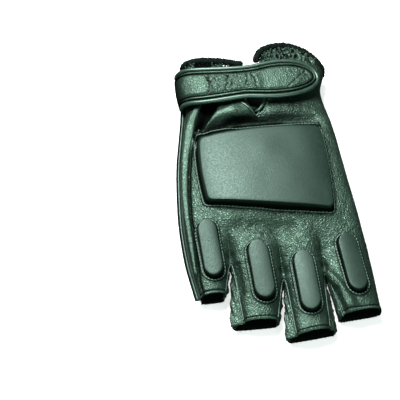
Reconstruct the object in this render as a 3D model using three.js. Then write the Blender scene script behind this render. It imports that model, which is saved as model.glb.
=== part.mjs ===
import * as THREE from "three";
import { mergeVertices } from "three/addons/utils/BufferGeometryUtils.js";

// A fingerless leather glove for a right hand, lying on its palm with the thumb folded under it.
// Millimetres. +X is the index finger side, +Y the cuff, +Z the back of the hand.

// Driving dimensions
const LEATHER = 1.6; // wall of every leather panel
const SEAM_GAP = 0.36; // between the edges of two sewn panels
const LAY_GAP = 0.45; // between a panel and what lies on it
const VENT = { tipX: 1.4, tipY: 44, mouthX: 3.4, mouthY: 80, width: 13, mouth: 9.4, vee: 8.5 };
const WRAP = 0.62; // how far the back panel rolls under the index side, in radians of the section
const BACK_ROUND = 2.6; // exponent of the rounded back of the hand's section
const PALM_ROUND = 4; // exponent of the flatter palm
const PALM_PRESS = 1.05; // how much of the palm the table presses flat
const FINGER_ROUND = 2.3; // exponent of a finger stub's back
const KNUCKLES = { start: -20, end: -50 }; // where the hand's section turns into four finger sections
const WEB_TOP = 11.5; // height of a gusset's upper edge at the web
const WEB_BOTTOM = 5; // and of its lower edge
const GUSSET_HEM = { top: 10, bottom: 4.5 }; // the same heights at the finger hems
const HEM_CROWN = 15; // height of a finger's back at its hem
const HEM_SIDE = 8; // height of the widest point of a finger at its hem
const THUMB_LIFT = 12; // how high the folded thumb holds the palm off the table
const GATHER = 0.7; // half the depth of the elastic puckers at the cuff's hem

// The hand from the cuff to the finger webs: side edges, crown, height of the widest points, lift by the thumb.
const HAND = [
  { y: 94, ulnar: -36.3, radial: 36, crown: 23, ulnarSide: 11, radialSide: 12, lift: 0 },
  { y: 86, ulnar: -36.6, radial: 41, crown: 24.5, ulnarSide: 11, radialSide: 12, lift: 0 },
  { y: 80, ulnar: -36.8, radial: 45, crown: 25, ulnarSide: 11, radialSide: 12, lift: 0 },
  { y: 73, ulnar: -36.9, radial: 46.7, crown: 25, ulnarSide: 11, radialSide: 12, lift: 0 },
  { y: 66, ulnar: -37.2, radial: 44, crown: 24.5, ulnarSide: 11, radialSide: 12, lift: 0 },
  { y: 60, ulnar: -38, radial: 42, crown: 24.2, ulnarSide: 11, radialSide: 12, lift: 0 },
  { y: 52, ulnar: -39.4, radial: 42.6, crown: 24.4, ulnarSide: 11, radialSide: 13, lift: 1 },
  { y: 44, ulnar: -41.2, radial: 43.6, crown: 24.6, ulnarSide: 11, radialSide: 15, lift: 4.5 },
  { y: 36, ulnar: -43, radial: 44.4, crown: 24.4, ulnarSide: 10.5, radialSide: 17, lift: 9.5 },
  { y: 27, ulnar: -45, radial: 45.2, crown: 24.8, ulnarSide: 10.5, radialSide: 18, lift: THUMB_LIFT },
  { y: 14, ulnar: -47, radial: 45.7, crown: 25.2, ulnarSide: 10, radialSide: 18.5, lift: THUMB_LIFT },
  { y: 0, ulnar: -48.5, radial: 46.5, crown: 25.2, ulnarSide: 10, radialSide: 18.5, lift: THUMB_LIFT },
  { y: -14, ulnar: -49.6, radial: 47.7, crown: 24.6, ulnarSide: 10, radialSide: 18, lift: THUMB_LIFT },
  { y: -27, ulnar: -49.7, radial: 48.8, crown: 23, ulnarSide: 9.5, radialSide: 16.5, lift: THUMB_LIFT },
  { y: -36, ulnar: -49.4, radial: 49.7, crown: 21.6, ulnarSide: 9, radialSide: 13, lift: 7 },
  { y: -43, ulnar: -48.9, radial: 50.7, crown: 20.4, ulnarSide: 9, radialSide: 10.5, lift: 2 },
  { y: -50, ulnar: -48.2, radial: 51.1, crown: 19.2, ulnarSide: 9, radialSide: 9, lift: 0 },
  { y: -58, ulnar: -47.4, radial: 51.4, crown: 18.4, ulnarSide: 8.5, radialSide: 9, lift: 0 },
];

// Where the cuff's hem runs on the back: it dips to the vent, bulges beside it and falls away on the index side.
const CUFF_HEM = [
  { x: -37, y: 87.5 },
  { x: -26, y: 85.4 },
  { x: -14, y: 81.6 },
  { x: -2, y: 77.2 },
  { x: 8, y: 78.8 },
  { x: 12, y: 85 },
  { x: 19, y: 88.4 },
  { x: 30, y: 88.8 },
  { x: 37, y: 86.4 },
  { x: 42, y: 82 },
  { x: 46.7, y: 73 },
];
const PALM_HEM = { seamSide: 87.5, y: 83, indexSide: 73 };

// The webs between the fingers, and how far each line between two fingers stands at the cuff.
const WEBS = [
  { name: "little_ring", x: -27, y: -42.7, cuffX: -20 },
  { name: "ring_middle", x: 0.8, y: -56, cuffX: VENT.mouthX },
  { name: "middle_index", x: 24, y: -55.7, cuffX: 24 },
];

// The finger stubs at their hems: left and right edge of the back strip and of the palm strip.
const FINGERS = [
  { name: "little", back: [-46.6, -32], palm: [-46.6, -32.4], hemY: [-60.2, -60.2] },
  { name: "ring", back: [-26, -5.8], palm: [-32.4, -4.8], hemY: [-78.7, -79.9] },
  { name: "middle", back: [1.4, 22], palm: [-3.6, 25.2], hemY: [-90.5, -89.3] },
  { name: "index", back: [28.6, 51.4], palm: [26.6, 51.4], hemY: [-82, -81.2] },
];

// Mesh rows down the hand, then down the fingers as shares of the stub's length.
const HAND_ROWS = [86, 82.5, 78, 70, 61, 52.5, 44, 39, 34, 27, 17, 6, -5, -15, -24, -32, -39, -45, -50];
const STUB_ROWS = [0.05, 0.18, 0.42, 0.7, 1];
const VENT_ROW = HAND_ROWS.indexOf(VENT.tipY);
const WEB_ROW = HAND_ROWS.length - 1;
const BACK_COLUMNS = [8, 7, 7, 7];
const WRAP_COLUMNS = 3;
const PALM_COLUMNS = [5, 4, 5, 6];
const THUMB_HOLE = { columnFrom: 10, columnTo: 18, rowFrom: 8, rowTo: 11 };

// Pads: the hand pad's four corners, and each knuckle pad's centre, size and turn in degrees.
const HAND_PAD = {
  corners: [[-36, 34], [36.6, 31.6], [34.4, -24.6], [-36.6, -11]],
  corner: 5,
  bow: 1.2,
  height: 6.8,
  crown: 0.9,
};
const KNUCKLE_PADS = [
  { name: "little", x: -37.2, y: -36.6, width: 14.8, length: 35, turn: 3.5 },
  { name: "ring", x: -11.8, y: -54, width: 14.8, length: 37, turn: 2 },
  { name: "middle", x: 11.6, y: -64, width: 14.4, length: 37.5, turn: 1 },
  { name: "index", x: 39.2, y: -56, width: 14, length: 36.5, turn: 5 },
];
const KNUCKLE_PAD_HEIGHT = 5.4;

// The wrist strap, from its root at the side seam to its round end, and what fastens it.
const STRAP = { thickness: 2.2, crown: 0.5, end: 20, bead: 1.3, beadGap: 0.35 };
const STRAP_LINE = [
  { x: -39.8, z: 12.7, y: 70.8, width: 18.4 },
  { x: -39.2, z: 17.4, y: 70.4, width: 18.6 },
  { x: -36, z: 21.9, y: 69.4, width: 19 },
  { x: -28, z: 24.9, y: 67.2, width: 19 },
  { x: -14, z: 27.1, y: 65.3, width: 17.2 },
  { x: -3, z: 27.9, y: 64.5, width: 16 },
  { x: 4, z: 28, y: 63.9, width: 17.2 },
  { x: 14, z: 28, y: 63.8, width: 19.7 },
  { x: 27, z: 27.2, y: 63.8, width: 19.7 },
  { x: 34, z: 25.8, y: 63.9, width: 19.7 },
  { x: 38.9, z: 24.2, y: 64, width: 19.7 },
];
const LOOP_PATCH = { x: [12, 33], y: [56, 74], under: LAY_GAP, thickness: 0.9 };
const HOOK_PATCH = { x: [13, 31], y: [57.5, 72.5], under: 1.8, thickness: 0.9 };

// The thumb stub: a tube that leaves the palm's hole, turns flat and runs towards the fingers.
const THUMB = { inset: 0.25, top: 11.3, creaseY: 4.6, width: 31, length: 32, lean: -0.2, hemTop: 10.4 };

const clamp = (v, low, high) => Math.min(high, Math.max(low, v));
const mix = (a, b, t) => a + (b - a) * t;
const ease = (t) => {
  const c = clamp(t, 0, 1);
  return c * c * (3 - 2 * c);
};
const bump = (distance, width) => Math.exp(-((distance / width) ** 2));

// A column of a table, read at a place between its rows along a smooth curve.
function read(table, key, at, column) {
  const up = table[0][key] < table[table.length - 1][key];
  const rows = up ? table : [...table].reverse();
  const place = clamp(at, rows[0][key], rows[rows.length - 1][key]);
  const last = rows.findIndex((row, i) => i > 0 && place <= row[key]);
  const [a, b] = [rows[last - 1], rows[last]];
  const before = rows[Math.max(0, last - 2)];
  const after = rows[Math.min(rows.length - 1, last + 1)];
  const span = b[key] - a[key];
  const slopeA = (b[column] - before[column]) / (b[key] - before[key]);
  const slopeB = (after[column] - a[column]) / (after[key] - a[key]);
  const t = (place - a[key]) / span;
  const [t2, t3] = [t * t, t * t * t];
  const ends = (2 * t3 - 3 * t2 + 1) * a[column] + (3 * t2 - 2 * t3) * b[column];
  return ends + (t3 - 2 * t2 + t) * span * slopeA + (t3 - t2) * span * slopeB;
}

const hand = (y, column) => read(HAND, "y", y, column);
const superCos = (theta, n) => Math.sign(Math.cos(theta)) * Math.abs(Math.cos(theta)) ** (2 / n);
const superSin = (theta, n) => Math.sign(Math.sin(theta)) * Math.abs(Math.sin(theta)) ** (2 / n);
const angleOf = (share, n) => Math.acos(Math.sign(share) * clamp(Math.abs(share), 0, 1) ** (n / 2));

// Soft folds of the back: the roll beside the side seam, the dip and crease above the pad, the hollow below it.
function folds(x, y) {
  const edge = hand(y, "ulnar");
  const sideWindow = ease((52 - y) / 10) * ease((y + 58) / 14);
  const roll = 1.3 * bump(x - edge - 6, 3.6) - 1.9 * bump(x - edge - 12.5, 3.2);
  const dip = -2.4 * bump(y - 40, 4.5) * ease((x + 44) / 14) * ease((50 - x) / 16);
  const along = clamp(((x + 35) * 27 + (y - 34) * 12) / (27 * 27 + 12 * 12), 0, 1);
  const crease = 3.2 * bump(Math.hypot(x + 35 - 27 * along, y - 34 - 12 * along), 3.4);
  const hollow = -1.7 * bump(x - 6, 20) * bump(y + 32, 5.5);
  return sideWindow * roll + dip + crease + hollow;
}

// The palm's lowest level: flat on the table, lifted on the index side where the thumb lies under it.
const floorAt = (x, y) => Math.max(0, hand(y, "lift")) * ease((x + 20) / 20);

// The palm is pressed flat where it rests: its section reaches its lowest level before its middle.
const pressed = (rise) => Math.min(1, rise * PALM_PRESS);

// A point of the hand's closed section: theta runs from the index side over the back to the side seam and under.
function handPoint(theta, y, plain = false) {
  const back = Math.sin(theta) >= 0;
  const n = back ? BACK_ROUND : PALM_ROUND;
  const [left, right] = [hand(y, "ulnar"), hand(y, "radial")];
  const share = superCos(theta, n);
  const x = (left + right) / 2 + ((right - left) / 2) * share;
  const side = mix(hand(y, "ulnarSide"), hand(y, "radialSide"), (share + 1) / 2);
  const rise = Math.abs(superSin(theta, n));
  if (!back) return new THREE.Vector3(x, y, side - (side - floorAt(x, y)) * pressed(rise));
  return new THREE.Vector3(x, y, side + (hand(y, "crown") - side + (plain ? 0 : folds(x, y))) * rise);
}

const shareAt = (x, y) => {
  const [left, right] = [hand(y, "ulnar"), hand(y, "radial")];
  return (2 * x - left - right) / (right - left);
};
const handTop = (x, y, plain) => handPoint(angleOf(shareAt(x, y), BACK_ROUND), y, plain);
const handBottom = (x, y) => handPoint(-angleOf(shareAt(x, y), PALM_ROUND), y);

// How far the vent's two edges stand apart, and its middle.
const ventShare = (y) => (y - VENT.tipY) / (VENT.mouthY - VENT.tipY);
const ventWidth = (y) => mix(VENT.width, VENT.mouth, ventShare(y)) * clamp((y - VENT.tipY) / VENT.vee, 0, 1);
const ventMiddle = (y) => mix(VENT.tipX, VENT.mouthX, ventShare(y));

// The line between two fingers on the hand; side is -1 or 1 beside the vent.
function lineX(web, y, side) {
  if (web !== WEBS[1]) return mix(web.x, web.cuffX, ease((y - web.y) / (86 - web.y)));
  if (y > VENT.tipY) return ventMiddle(y) + (side * ventWidth(y)) / 2;
  return mix(web.x, VENT.tipX, ease((y - web.y) / (VENT.tipY - web.y)));
}

const palmHem = (x) => {
  if (x < 0) return mix(PALM_HEM.seamSide, PALM_HEM.y, ease((x + 37) / 12));
  return mix(PALM_HEM.y, PALM_HEM.indexSide, ease((x - 12) / 35));
};

// A row's place along Y: rows slant to the webs at one end and follow the cuff's hem at the other.
function rowY(nominal, x, back) {
  const webShift = x < WEBS[0].x ? WEBS[0].y + 50 : mix(WEBS[0].y + 50, WEBS[1].y + 50, ease((x + 27) / 28));
  const hem = back ? read(CUFF_HEM, "x", x, "y") : palmHem(x);
  return nominal + webShift * ease((12 - nominal) / 62) + (hem - 86) * ease((nominal - 60) / 26);
}

const skin = { points: [], panels: {} };
function addPoint(p) {
  skin.points.push(p);
  return skin.points.length - 1;
}
function addQuad(panel, a, b, c, d) {
  const faces = (skin.panels[panel] ??= []);
  faces.push([a, b, c], [a, c, d]);
}

// The edges of finger k at a row: before the web they are the hand's own lines.
function fingerEdges(k, row, part) {
  const finger = FINGERS[k];
  const stub = row > WEB_ROW ? STUB_ROWS[row - WEB_ROW - 1] : 0;
  const nominal = HAND_ROWS[Math.min(row, WEB_ROW)];
  const heights = part === "back" ? [WEB_TOP, GUSSET_HEM.top] : [WEB_BOTTOM, GUSSET_HEM.bottom];
  return [0, 1].map((side) => {
    const web = WEBS[k - 1 + side];
    if (!web) {
      const key = side ? "radial" : "ulnar";
      const y0 = rowY(nominal, side ? 50 : -50, part === "back");
      const y = mix(y0, finger.hemY[side], stub);
      const x = mix(hand(y0, key), finger[part][side], stub);
      return { x, y, z: mix(hand(y0, key + "Side"), HEM_SIDE, stub) };
    }
    let x = web.x;
    let y = rowY(nominal, web.x, part === "back");
    for (let pass = 0; pass < 4 && !stub; pass++) {
      x = lineX(web, y, side ? -1 : 1);
      y = rowY(nominal, x, part === "back");
    }
    if (row >= WEB_ROW) [x, y] = [web.x, web.y];
    const spread = (part === "back" ? 0.9 : 0.6) * Math.sqrt(clamp(stub / 0.12, 0, 1));
    x = mix(x, finger[part][side], stub) + (side ? -spread : spread);
    y = mix(y, finger.hemY[side], stub);
    return { x, y, z: mix(heights[0], heights[1], stub) };
  });
}

// One row of points across finger k, from its left edge to its right edge.
function fingerRow(k, row, part, columns, wrap) {
  const back = part === "back";
  const n = back ? FINGER_ROUND : PALM_ROUND;
  const [left, right] = fingerEdges(k, row, part);
  const stub = row > WEB_ROW ? STUB_ROWS[row - WEB_ROW - 1] : 0;
  const nominal = HAND_ROWS[Math.min(row, WEB_ROW)];
  const blend = row > WEB_ROW ? 1 : ease((KNUCKLES.start - nominal) / (KNUCKLES.start - KNUCKLES.end));
  const middle = (left.x + right.x) / 2;
  const webY = mix(fingerEdges(k, WEB_ROW, part)[0].y, fingerEdges(k, WEB_ROW, part)[1].y, 0.5);
  const atY = stub ? webY : (left.y + right.y) / 2;
  const crown = back ? mix(handTop(middle, atY).z, HEM_CROWN, ease(stub)) : mix(floorAt(middle, atY), 0, stub);
  const handShares = [shareAt(left.x, left.y), shareAt(right.x, right.y)];
  const handN = back ? BACK_ROUND : PALM_ROUND;
  const outer = !WEBS[k - 1] || !WEBS[k];
  const points = [];
  for (let i = 0; i <= columns + wrap; i++) {
    const a = Math.min(1, i / columns);
    const under = Math.max(0, i - columns) / Math.max(1, wrap);
    const stop = !back && k === 3 ? Math.PI - WRAP : Math.PI;
    const turn = back ? Math.PI * (1 - a) - WRAP * under : Math.PI + stop * a;
    const share = superCos(turn, back && under === 0 ? n : PALM_ROUND);
    const across = (share + 1) / 2;
    const x = middle + ((right.x - left.x) / 2) * share;
    const base = mix(left.z, right.z, across);
    const over = back && under === 0;
    const rise = over ? Math.abs(superSin(turn, n)) : pressed(Math.abs(superSin(turn, PALM_ROUND)));
    const level = under > 0 ? floorAt(middle, atY) * (1 - stub) : crown;
    const y = mix(left.y, right.y, across);
    const onFinger = new THREE.Vector3(x, y, base + (level - base) * rise);
    if (blend >= 1) {
      points.push(onFinger);
      continue;
    }
    let theta = angleOf(mix(handShares[0], handShares[1], a), handN);
    if (outer) {
      const ends = handShares.map((s) => angleOf(s, handN));
      if (!back && k === 3) ends[1] = WRAP;
      theta = mix(ends[0], ends[1], a);
    }
    if (under > 0) theta = -WRAP * under;
    if (!back) theta = -theta;
    let onHand = handPoint(theta, y);
    const handY = stub ? y : rowYBetween(nominal, onHand.x, left, right, back && under === 0);
    onHand = handPoint(theta, handY);
    points.push(onHand.lerp(onFinger, blend));
  }
  return points;
}

// Rows stay level with their two edge points, and follow the cuff's hem between them.
function rowYBetween(nominal, x, left, right, back) {
  const t = clamp((x - left.x) / (right.x - left.x || 1), 0, 1);
  const straight = mix(left.y, right.y, t);
  return nominal > 60 ? rowY(nominal, x, back) : straight;
}

// Both sheets as grids of point numbers. Points on a seam or on an uncut finger line are shared.
const ROWS = HAND_ROWS.length + STUB_ROWS.length;
const grids = { back: [], palm: [] };
for (const part of ["back", "palm"]) {
  for (let row = 0; row < ROWS; row++) {
    const strips = FINGERS.map((finger, k) => {
      const columns = (part === "back" ? BACK_COLUMNS : PALM_COLUMNS)[k];
      return fingerRow(k, row, part, columns, part === "back" && k === 3 ? WRAP_COLUMNS : 0);
    });
    const ids = [];
    strips.forEach((points, k) => {
      const cutHere = row > WEB_ROW || (part === "back" && k === 2 && row < VENT_ROW);
      ids.push(points.map((p, i) => {
        if (k > 0 && i === 0 && !cutHere) return ids[k - 1][ids[k - 1].length - 1];
        if (part === "palm" && k === 0 && i === 0) return grids.back[row][0][0];
        if (part === "palm" && k === 3 && i === points.length - 1) return grids.back[row][3].at(-1);
        return addPoint(p);
      }));
    });
    grids[part].push(ids);
  }
}

// Elastic puckers: every second column of the back stands up, and its neighbours sink, towards the hem.
for (let row = 0; row < 2; row++) {
  let count = 0;
  for (const strip of grids.back[row]) {
    for (const id of strip.slice(1, -1)) {
      const p = skin.points[id];
      count += 1;
      if (p.z > 14) p.z += (count % 2 ? GATHER : -GATHER) * (row ? 0.6 : 1);
    }
  }
}

const inThumbHole = (column, row) =>
  column >= THUMB_HOLE.columnFrom && column < THUMB_HOLE.columnTo && row >= THUMB_HOLE.rowFrom && row < THUMB_HOLE.rowTo;

// Pulls the hole's corners in, so that the thumb's seam is an oval.
const holeSpan = [[Infinity, -Infinity], [Infinity, -Infinity]];
const palmRow = (row) => {
  const strips = grids.palm[row];
  return [strips[0][0], ...strips.flatMap((strip) => strip.slice(1))];
};
function holeLoop() {
  const { columnFrom, columnTo, rowFrom, rowTo } = THUMB_HOLE;
  const loop = [];
  for (let c = columnTo; c > columnFrom; c--) loop.push([c, rowFrom]);
  for (let r = rowFrom; r < rowTo; r++) loop.push([columnFrom, r]);
  for (let c = columnFrom; c < columnTo; c++) loop.push([c, rowTo]);
  for (let r = rowTo; r > rowFrom; r--) loop.push([columnTo, r]);
  return loop.map(([c, r]) => palmRow(r)[c]);
}
const HOLE = holeLoop();
for (const id of HOLE) {
  const p = skin.points[id];
  holeSpan[0] = [Math.min(holeSpan[0][0], p.x), Math.max(holeSpan[0][1], p.x)];
  holeSpan[1] = [Math.min(holeSpan[1][0], p.y), Math.max(holeSpan[1][1], p.y)];
}
const [holeX, holeY] = holeSpan.map(([low, high]) => (low + high) / 2);
const [holeA, holeB] = holeSpan.map(([low, high]) => (high - low) / 2);
HOLE.forEach((id) => {
  const p = skin.points[id];
  const [u, v] = [(p.x - holeX) / holeA, (p.y - holeY) / holeB];
  const reach = (Math.abs(u) ** 3 + Math.abs(v) ** 3) ** (1 / 3) || 1;
  const [x, y] = [holeX + (u / reach) * holeA, holeY + (v / reach) * holeB];
  p.set(x, y, handBottom(x, y).z);
});

for (let row = 0; row + 1 < ROWS; row++) {
  grids.back[row].forEach((strip, k) => {
    const next = grids.back[row + 1][k];
    const start = row < WEB_ROW && k > 0 && !(k === 2 && row < VENT_ROW) ? grids.back[row][k - 1].at(-1) : strip[0];
    const [ids, below] = [[start, ...strip.slice(1)], [...next]];
    for (let i = 0; i + 1 < ids.length; i++) addQuad("back_panel", ids[i], below[i], below[i + 1], ids[i + 1]);
  });
}
let palmColumn = 0;
for (let row = 0; row + 1 < ROWS; row++) {
  palmColumn = 0;
  grids.palm[row].forEach((strip, k) => {
    const next = grids.palm[row + 1][k];
    for (let i = 0; i + 1 < strip.length; i++) {
      if (!inThumbHole(palmColumn, row)) addQuad("palm_panel", strip[i], strip[i + 1], next[i + 1], next[i]);
      palmColumn += 1;
    }
  });
}

// Each gusset is one strip that runs up one finger's side, round the web and down the next finger's side.
WEBS.forEach((web, w) => {
  const rows = [...Array(STUB_ROWS.length).keys()].map((i) => WEB_ROW + 1 + i);
  const side = (grid, k, end) => rows.map((row) => (end ? grids[grid][row][k].at(-1) : grids[grid][row][k][0]));
  const tip = (grid) => grids[grid][WEB_ROW][w].at(-1);
  const upper = [...side("back", w, true).reverse(), tip("back"), ...side("back", w + 1, false)];
  const lower = [...side("palm", w, true).reverse(), tip("palm"), ...side("palm", w + 1, false)];
  const middle = upper.map((id, i) => addPoint(skin.points[id].clone().lerp(skin.points[lower[i]], 0.5)));
  for (let i = 0; i + 1 < upper.length; i++) {
    addQuad("gusset_" + web.name, upper[i], middle[i], middle[i + 1], upper[i + 1]);
    addQuad("gusset_" + web.name, middle[i], lower[i], lower[i + 1], middle[i + 1]);
  }
});

// Outward direction at each point of a set of faces.
function normalsOf(points, faces) {
  const normals = points.map(() => new THREE.Vector3());
  for (const [a, b, c] of faces) {
    const across = points[b].clone().sub(points[a]);
    const face = across.cross(points[c].clone().sub(points[a]));
    for (const id of [a, b, c]) normals[id].add(face);
  }
  return normals.map((n) => n.normalize());
}

function meshFrom(points, faces) {
  const geometry = new THREE.BufferGeometry();
  const place = new Float32Array(points.length * 3);
  points.forEach((p, i) => place.set([p.x, p.y, p.z], i * 3));
  geometry.setAttribute("position", new THREE.BufferAttribute(place, 3));
  geometry.setIndex(faces.flat());
  geometry.computeVertexNormals();
  return geometry;
}

// Seams open a little more round the webs, where three panels meet in a sharp corner.
const webSlack = (p) => 1 + 2.2 * Math.max(...WEBS.map((web) => bump(Math.hypot(p.x - web.x, p.y - web.y), 4)));

// Gives a sheet of faces its thickness, with its free edges drawn back by half a seam gap.
function thicken(points, faces, normals, wall, gap = SEAM_GAP / 2) {
  const used = [...new Set(faces.flat())];
  const local = new Map(used.map((id, i) => [id, i]));
  const edges = new Map();
  for (const face of faces) {
    face.forEach((a, i) => {
      const b = face[(i + 1) % 3];
      if (!edges.delete(b + "_" + a)) edges.set(a + "_" + b, [a, b]);
    });
  }
  const rim = new Map([...edges.values()].flat().map((id) => [id, new THREE.Vector3()]));
  for (const face of faces) {
    const centre = new THREE.Vector3();
    face.forEach((id) => centre.addScaledVector(points[id], 1 / 3));
    face.forEach((id) => rim.get(id)?.add(centre.clone().sub(points[id]).normalize()));
  }
  const outer = used.map((id) => {
    const inward = rim.get(id);
    const p = points[id].clone();
    return inward ? p.addScaledVector(inward.normalize(), gap * 1.3 * webSlack(p)) : p;
  });
  const inner = used.map((id, i) => outer[i].clone().addScaledVector(normals[id], -wall));
  const count = used.length;
  const solid = [];
  for (const [a, b, c] of faces) {
    const [i, j, k] = [local.get(a), local.get(b), local.get(c)];
    solid.push([i, j, k], [i + count, k + count, j + count]);
  }
  for (const [a, b] of edges.values()) {
    const [i, j] = [local.get(a), local.get(b)];
    solid.push([j, i, i + count], [j, i + count, j + count]);
  }
  return meshFrom([...outer, ...inner], solid);
}

// Closed body from rings of equal length, each ring an array of points, with flat ends.
function loft(rings) {
  const count = rings[0].length;
  const points = rings.flat();
  const faces = [];
  for (let r = 0; r + 1 < rings.length; r++) {
    for (let i = 0; i < count; i++) {
      const [a, b] = [r * count + i, r * count + ((i + 1) % count)];
      faces.push([a, b, b + count], [a, b + count, a + count]);
    }
  }
  for (const [start, flip] of [[0, true], [(rings.length - 1) * count, false]]) {
    const centre = new THREE.Vector3();
    for (let i = 0; i < count; i++) centre.addScaledVector(points[start + i], 1 / count);
    points.push(centre);
    for (let i = 0; i < count; i++) {
      const [a, b] = [start + i, start + ((i + 1) % count)];
      faces.push(flip ? [b, a, points.length - 1] : [a, b, points.length - 1]);
    }
  }
  return turnedOut(points, faces);
}

// The same faces, reversed if the body they close is inside out.
function turnedOut(points, faces) {
  let volume = 0;
  for (const [a, b, c] of faces) volume += points[a].dot(points[b].clone().cross(points[c]));
  return meshFrom(points, volume < 0 ? faces.map(([a, b, c]) => [a, c, b]) : faces);
}

// A round bead of leather along a path.
function bead(path, radius, sides, steps) {
  const section = new THREE.Shape();
  for (let i = 0; i <= sides; i++) {
    const turn = (i / sides) * Math.PI * 2;
    const [x, y] = [radius * Math.cos(turn), radius * Math.sin(turn)];
    if (i) section.lineTo(x, y);
    else section.moveTo(x, y);
  }
  const curve = new THREE.CatmullRomCurve3(path, false, "centripetal");
  const geometry = new THREE.ExtrudeGeometry(section, { steps, extrudePath: curve, bevelEnabled: false });
  geometry.deleteAttribute("normal");
  geometry.deleteAttribute("uv");
  return mergeVertices(geometry, 1e-3);
}

const allFaces = Object.values(skin.panels).flat();
const skinNormals = normalsOf(skin.points, allFaces);
const panel = (name) => thicken(skin.points, skin.panels[name], skinNormals, LEATHER);

// Height of the back panel's outer face over a place, read from its facets; beside it, that of its nearest edge.
const backFaces = skin.panels.back_panel.map((face) => face.map((id) => skin.points[id]));
function backHeight(x, y) {
  let [nearest, found] = [Infinity, 0];
  for (const [a, b, c] of backFaces) {
    const area = (b.x - a.x) * (c.y - a.y) - (c.x - a.x) * (b.y - a.y);
    if (Math.abs(area) < 1e-6) continue;
    const u = ((b.x - x) * (c.y - y) - (c.x - x) * (b.y - y)) / area;
    const v = ((c.x - x) * (a.y - y) - (a.x - x) * (c.y - y)) / area;
    const shares = [u, v, 1 - u - v].map((share) => Math.max(0, share));
    const total = shares[0] + shares[1] + shares[2];
    const at = new THREE.Vector3();
    [a, b, c].forEach((corner, i) => at.addScaledVector(corner, shares[i] / total));
    const distance = Math.round(Math.hypot(at.x - x, at.y - y) * 1e4) / 1e4;
    if (distance < nearest || (distance === nearest && at.z > found)) [nearest, found] = [distance, at.z];
  }
  return found;
}

// Places round a point that a pad's underside must clear.
const LAY_REACH = [[0, 0], [1.8, 0], [-1.8, 0], [0, 1.8], [0, -1.8]];

// A raised pad: a thin sewn flange, a steep wall and a crowned top, on the back panel's own surface.
function pad(outline, centre, profile, topHeight) {
  const count = outline.length;
  const inset = (amount) => outline.map((p, i) => {
    const along = outline[(i + 1) % count].clone().sub(outline[(i + count - 1) % count]).normalize();
    return new THREE.Vector2(p.x - along.y * amount, p.y + along.x * amount);
  });
  const lay = (p) => Math.max(...LAY_REACH.map(([x, y]) => backHeight(p.x + x, p.y + y))) + LAY_GAP;
  const points = [];
  const ring = (flat, height) => flat.forEach((p) => points.push(new THREE.Vector3(p.x, p.y, height(p))));
  const shrunk = (flat, share) => flat.map((p) => p.clone().lerp(centre, 1 - share));
  const top = inset(profile.at(-1).inset);
  ring([centre], lay);
  for (const share of [0.35, 0.7]) ring(shrunk(outline, share), (p) => lay(p) + 0.5);
  ring(outline, lay);
  for (const { inset: amount, height } of profile.slice(0, -1)) {
    ring(inset(amount), (p) => (height < 1.5 ? lay(p) : topHeight(p) - profile.at(-1).height) + height);
  }
  for (const share of [1, 0.65, 0.3]) ring(shrunk(top, share), topHeight);
  ring([centre], topHeight);
  const rings = profile.length - 1 + 6;
  const faces = [];
  for (let i = 0; i < count; i++) {
    const j = (i + 1) % count;
    faces.push([0, 1 + j, 1 + i]);
    for (let r = 0; r + 1 < rings; r++) {
      const [a, b] = [1 + r * count + i, 1 + r * count + j];
      faces.push([a, b, b + count], [a, b + count, a + count]);
    }
    const last = 1 + (rings - 1) * count;
    faces.push([last + i, last + j, points.length - 1]);
  }
  return turnedOut(points, faces);
}

// A four-cornered outline with rounded corners and slightly bowed sides.
function padOutline({ corners, corner, bow }) {
  const at = corners.map(([x, y]) => new THREE.Vector2(x, y)).reverse();
  const points = [];
  at.forEach((here, i) => {
    const [before, after] = [at[(i + 3) % 4], at[(i + 1) % 4]];
    const inTo = here.clone().sub(before).normalize();
    const out = after.clone().sub(here).normalize();
    const [start, end] = [here.clone().addScaledVector(inTo, -corner), here.clone().addScaledVector(out, corner)];
    for (const t of [0, 0.33, 0.67, 1]) {
      points.push(start.clone().multiplyScalar((1 - t) ** 2).addScaledVector(here, 2 * t * (1 - t)).addScaledVector(end, t * t));
    }
    const next = after.clone().addScaledVector(out, -corner);
    const sideways = new THREE.Vector2(out.y, -out.x);
    for (const t of [0.14, 0.28, 0.43, 0.57, 0.72, 0.86]) {
      points.push(end.clone().lerp(next, t).addScaledVector(sideways, 4 * bow * t * (1 - t)));
    }
  });
  return points;
}

// A knuckle pad's stadium outline, turned and set in place.
function knuckleOutline({ x, y, width, length, turn }) {
  const centre = new THREE.Vector2(x, y);
  const straight = (length - width) / 2;
  const points = [];
  for (const end of [1, -1]) {
    for (let i = 0; i <= 6; i++) {
      const angle = (end > 0 ? 0 : Math.PI) + (i / 6) * Math.PI;
      points.push(new THREE.Vector2((width / 2) * Math.cos(angle), end * straight + (width / 2) * Math.sin(angle)));
    }
    points.push(new THREE.Vector2((-end * width) / 2, 0));
  }
  return points.map((p) => p.rotateAround(new THREE.Vector2(), (turn * Math.PI) / 180).add(centre));
}

function handPad() {
  const outline = padOutline(HAND_PAD);
  const centre = outline.reduce((sum, p) => sum.addScaledVector(p, 1 / outline.length), new THREE.Vector2());
  const profile = [
    { inset: 0, height: 0.9 },
    { inset: 1.5, height: 0.9 },
    { inset: 2.3, height: 5.4 },
    { inset: 3.2, height: 6.5 },
    { inset: 5, height: HAND_PAD.height },
  ];
  const dome = (p) => HAND_PAD.crown * (1 - ((p.x - centre.x) / 38) ** 2);
  return pad(outline, centre, profile, (p) => handTop(p.x, p.y, true).z + HAND_PAD.height + dome(p));
}

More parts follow.
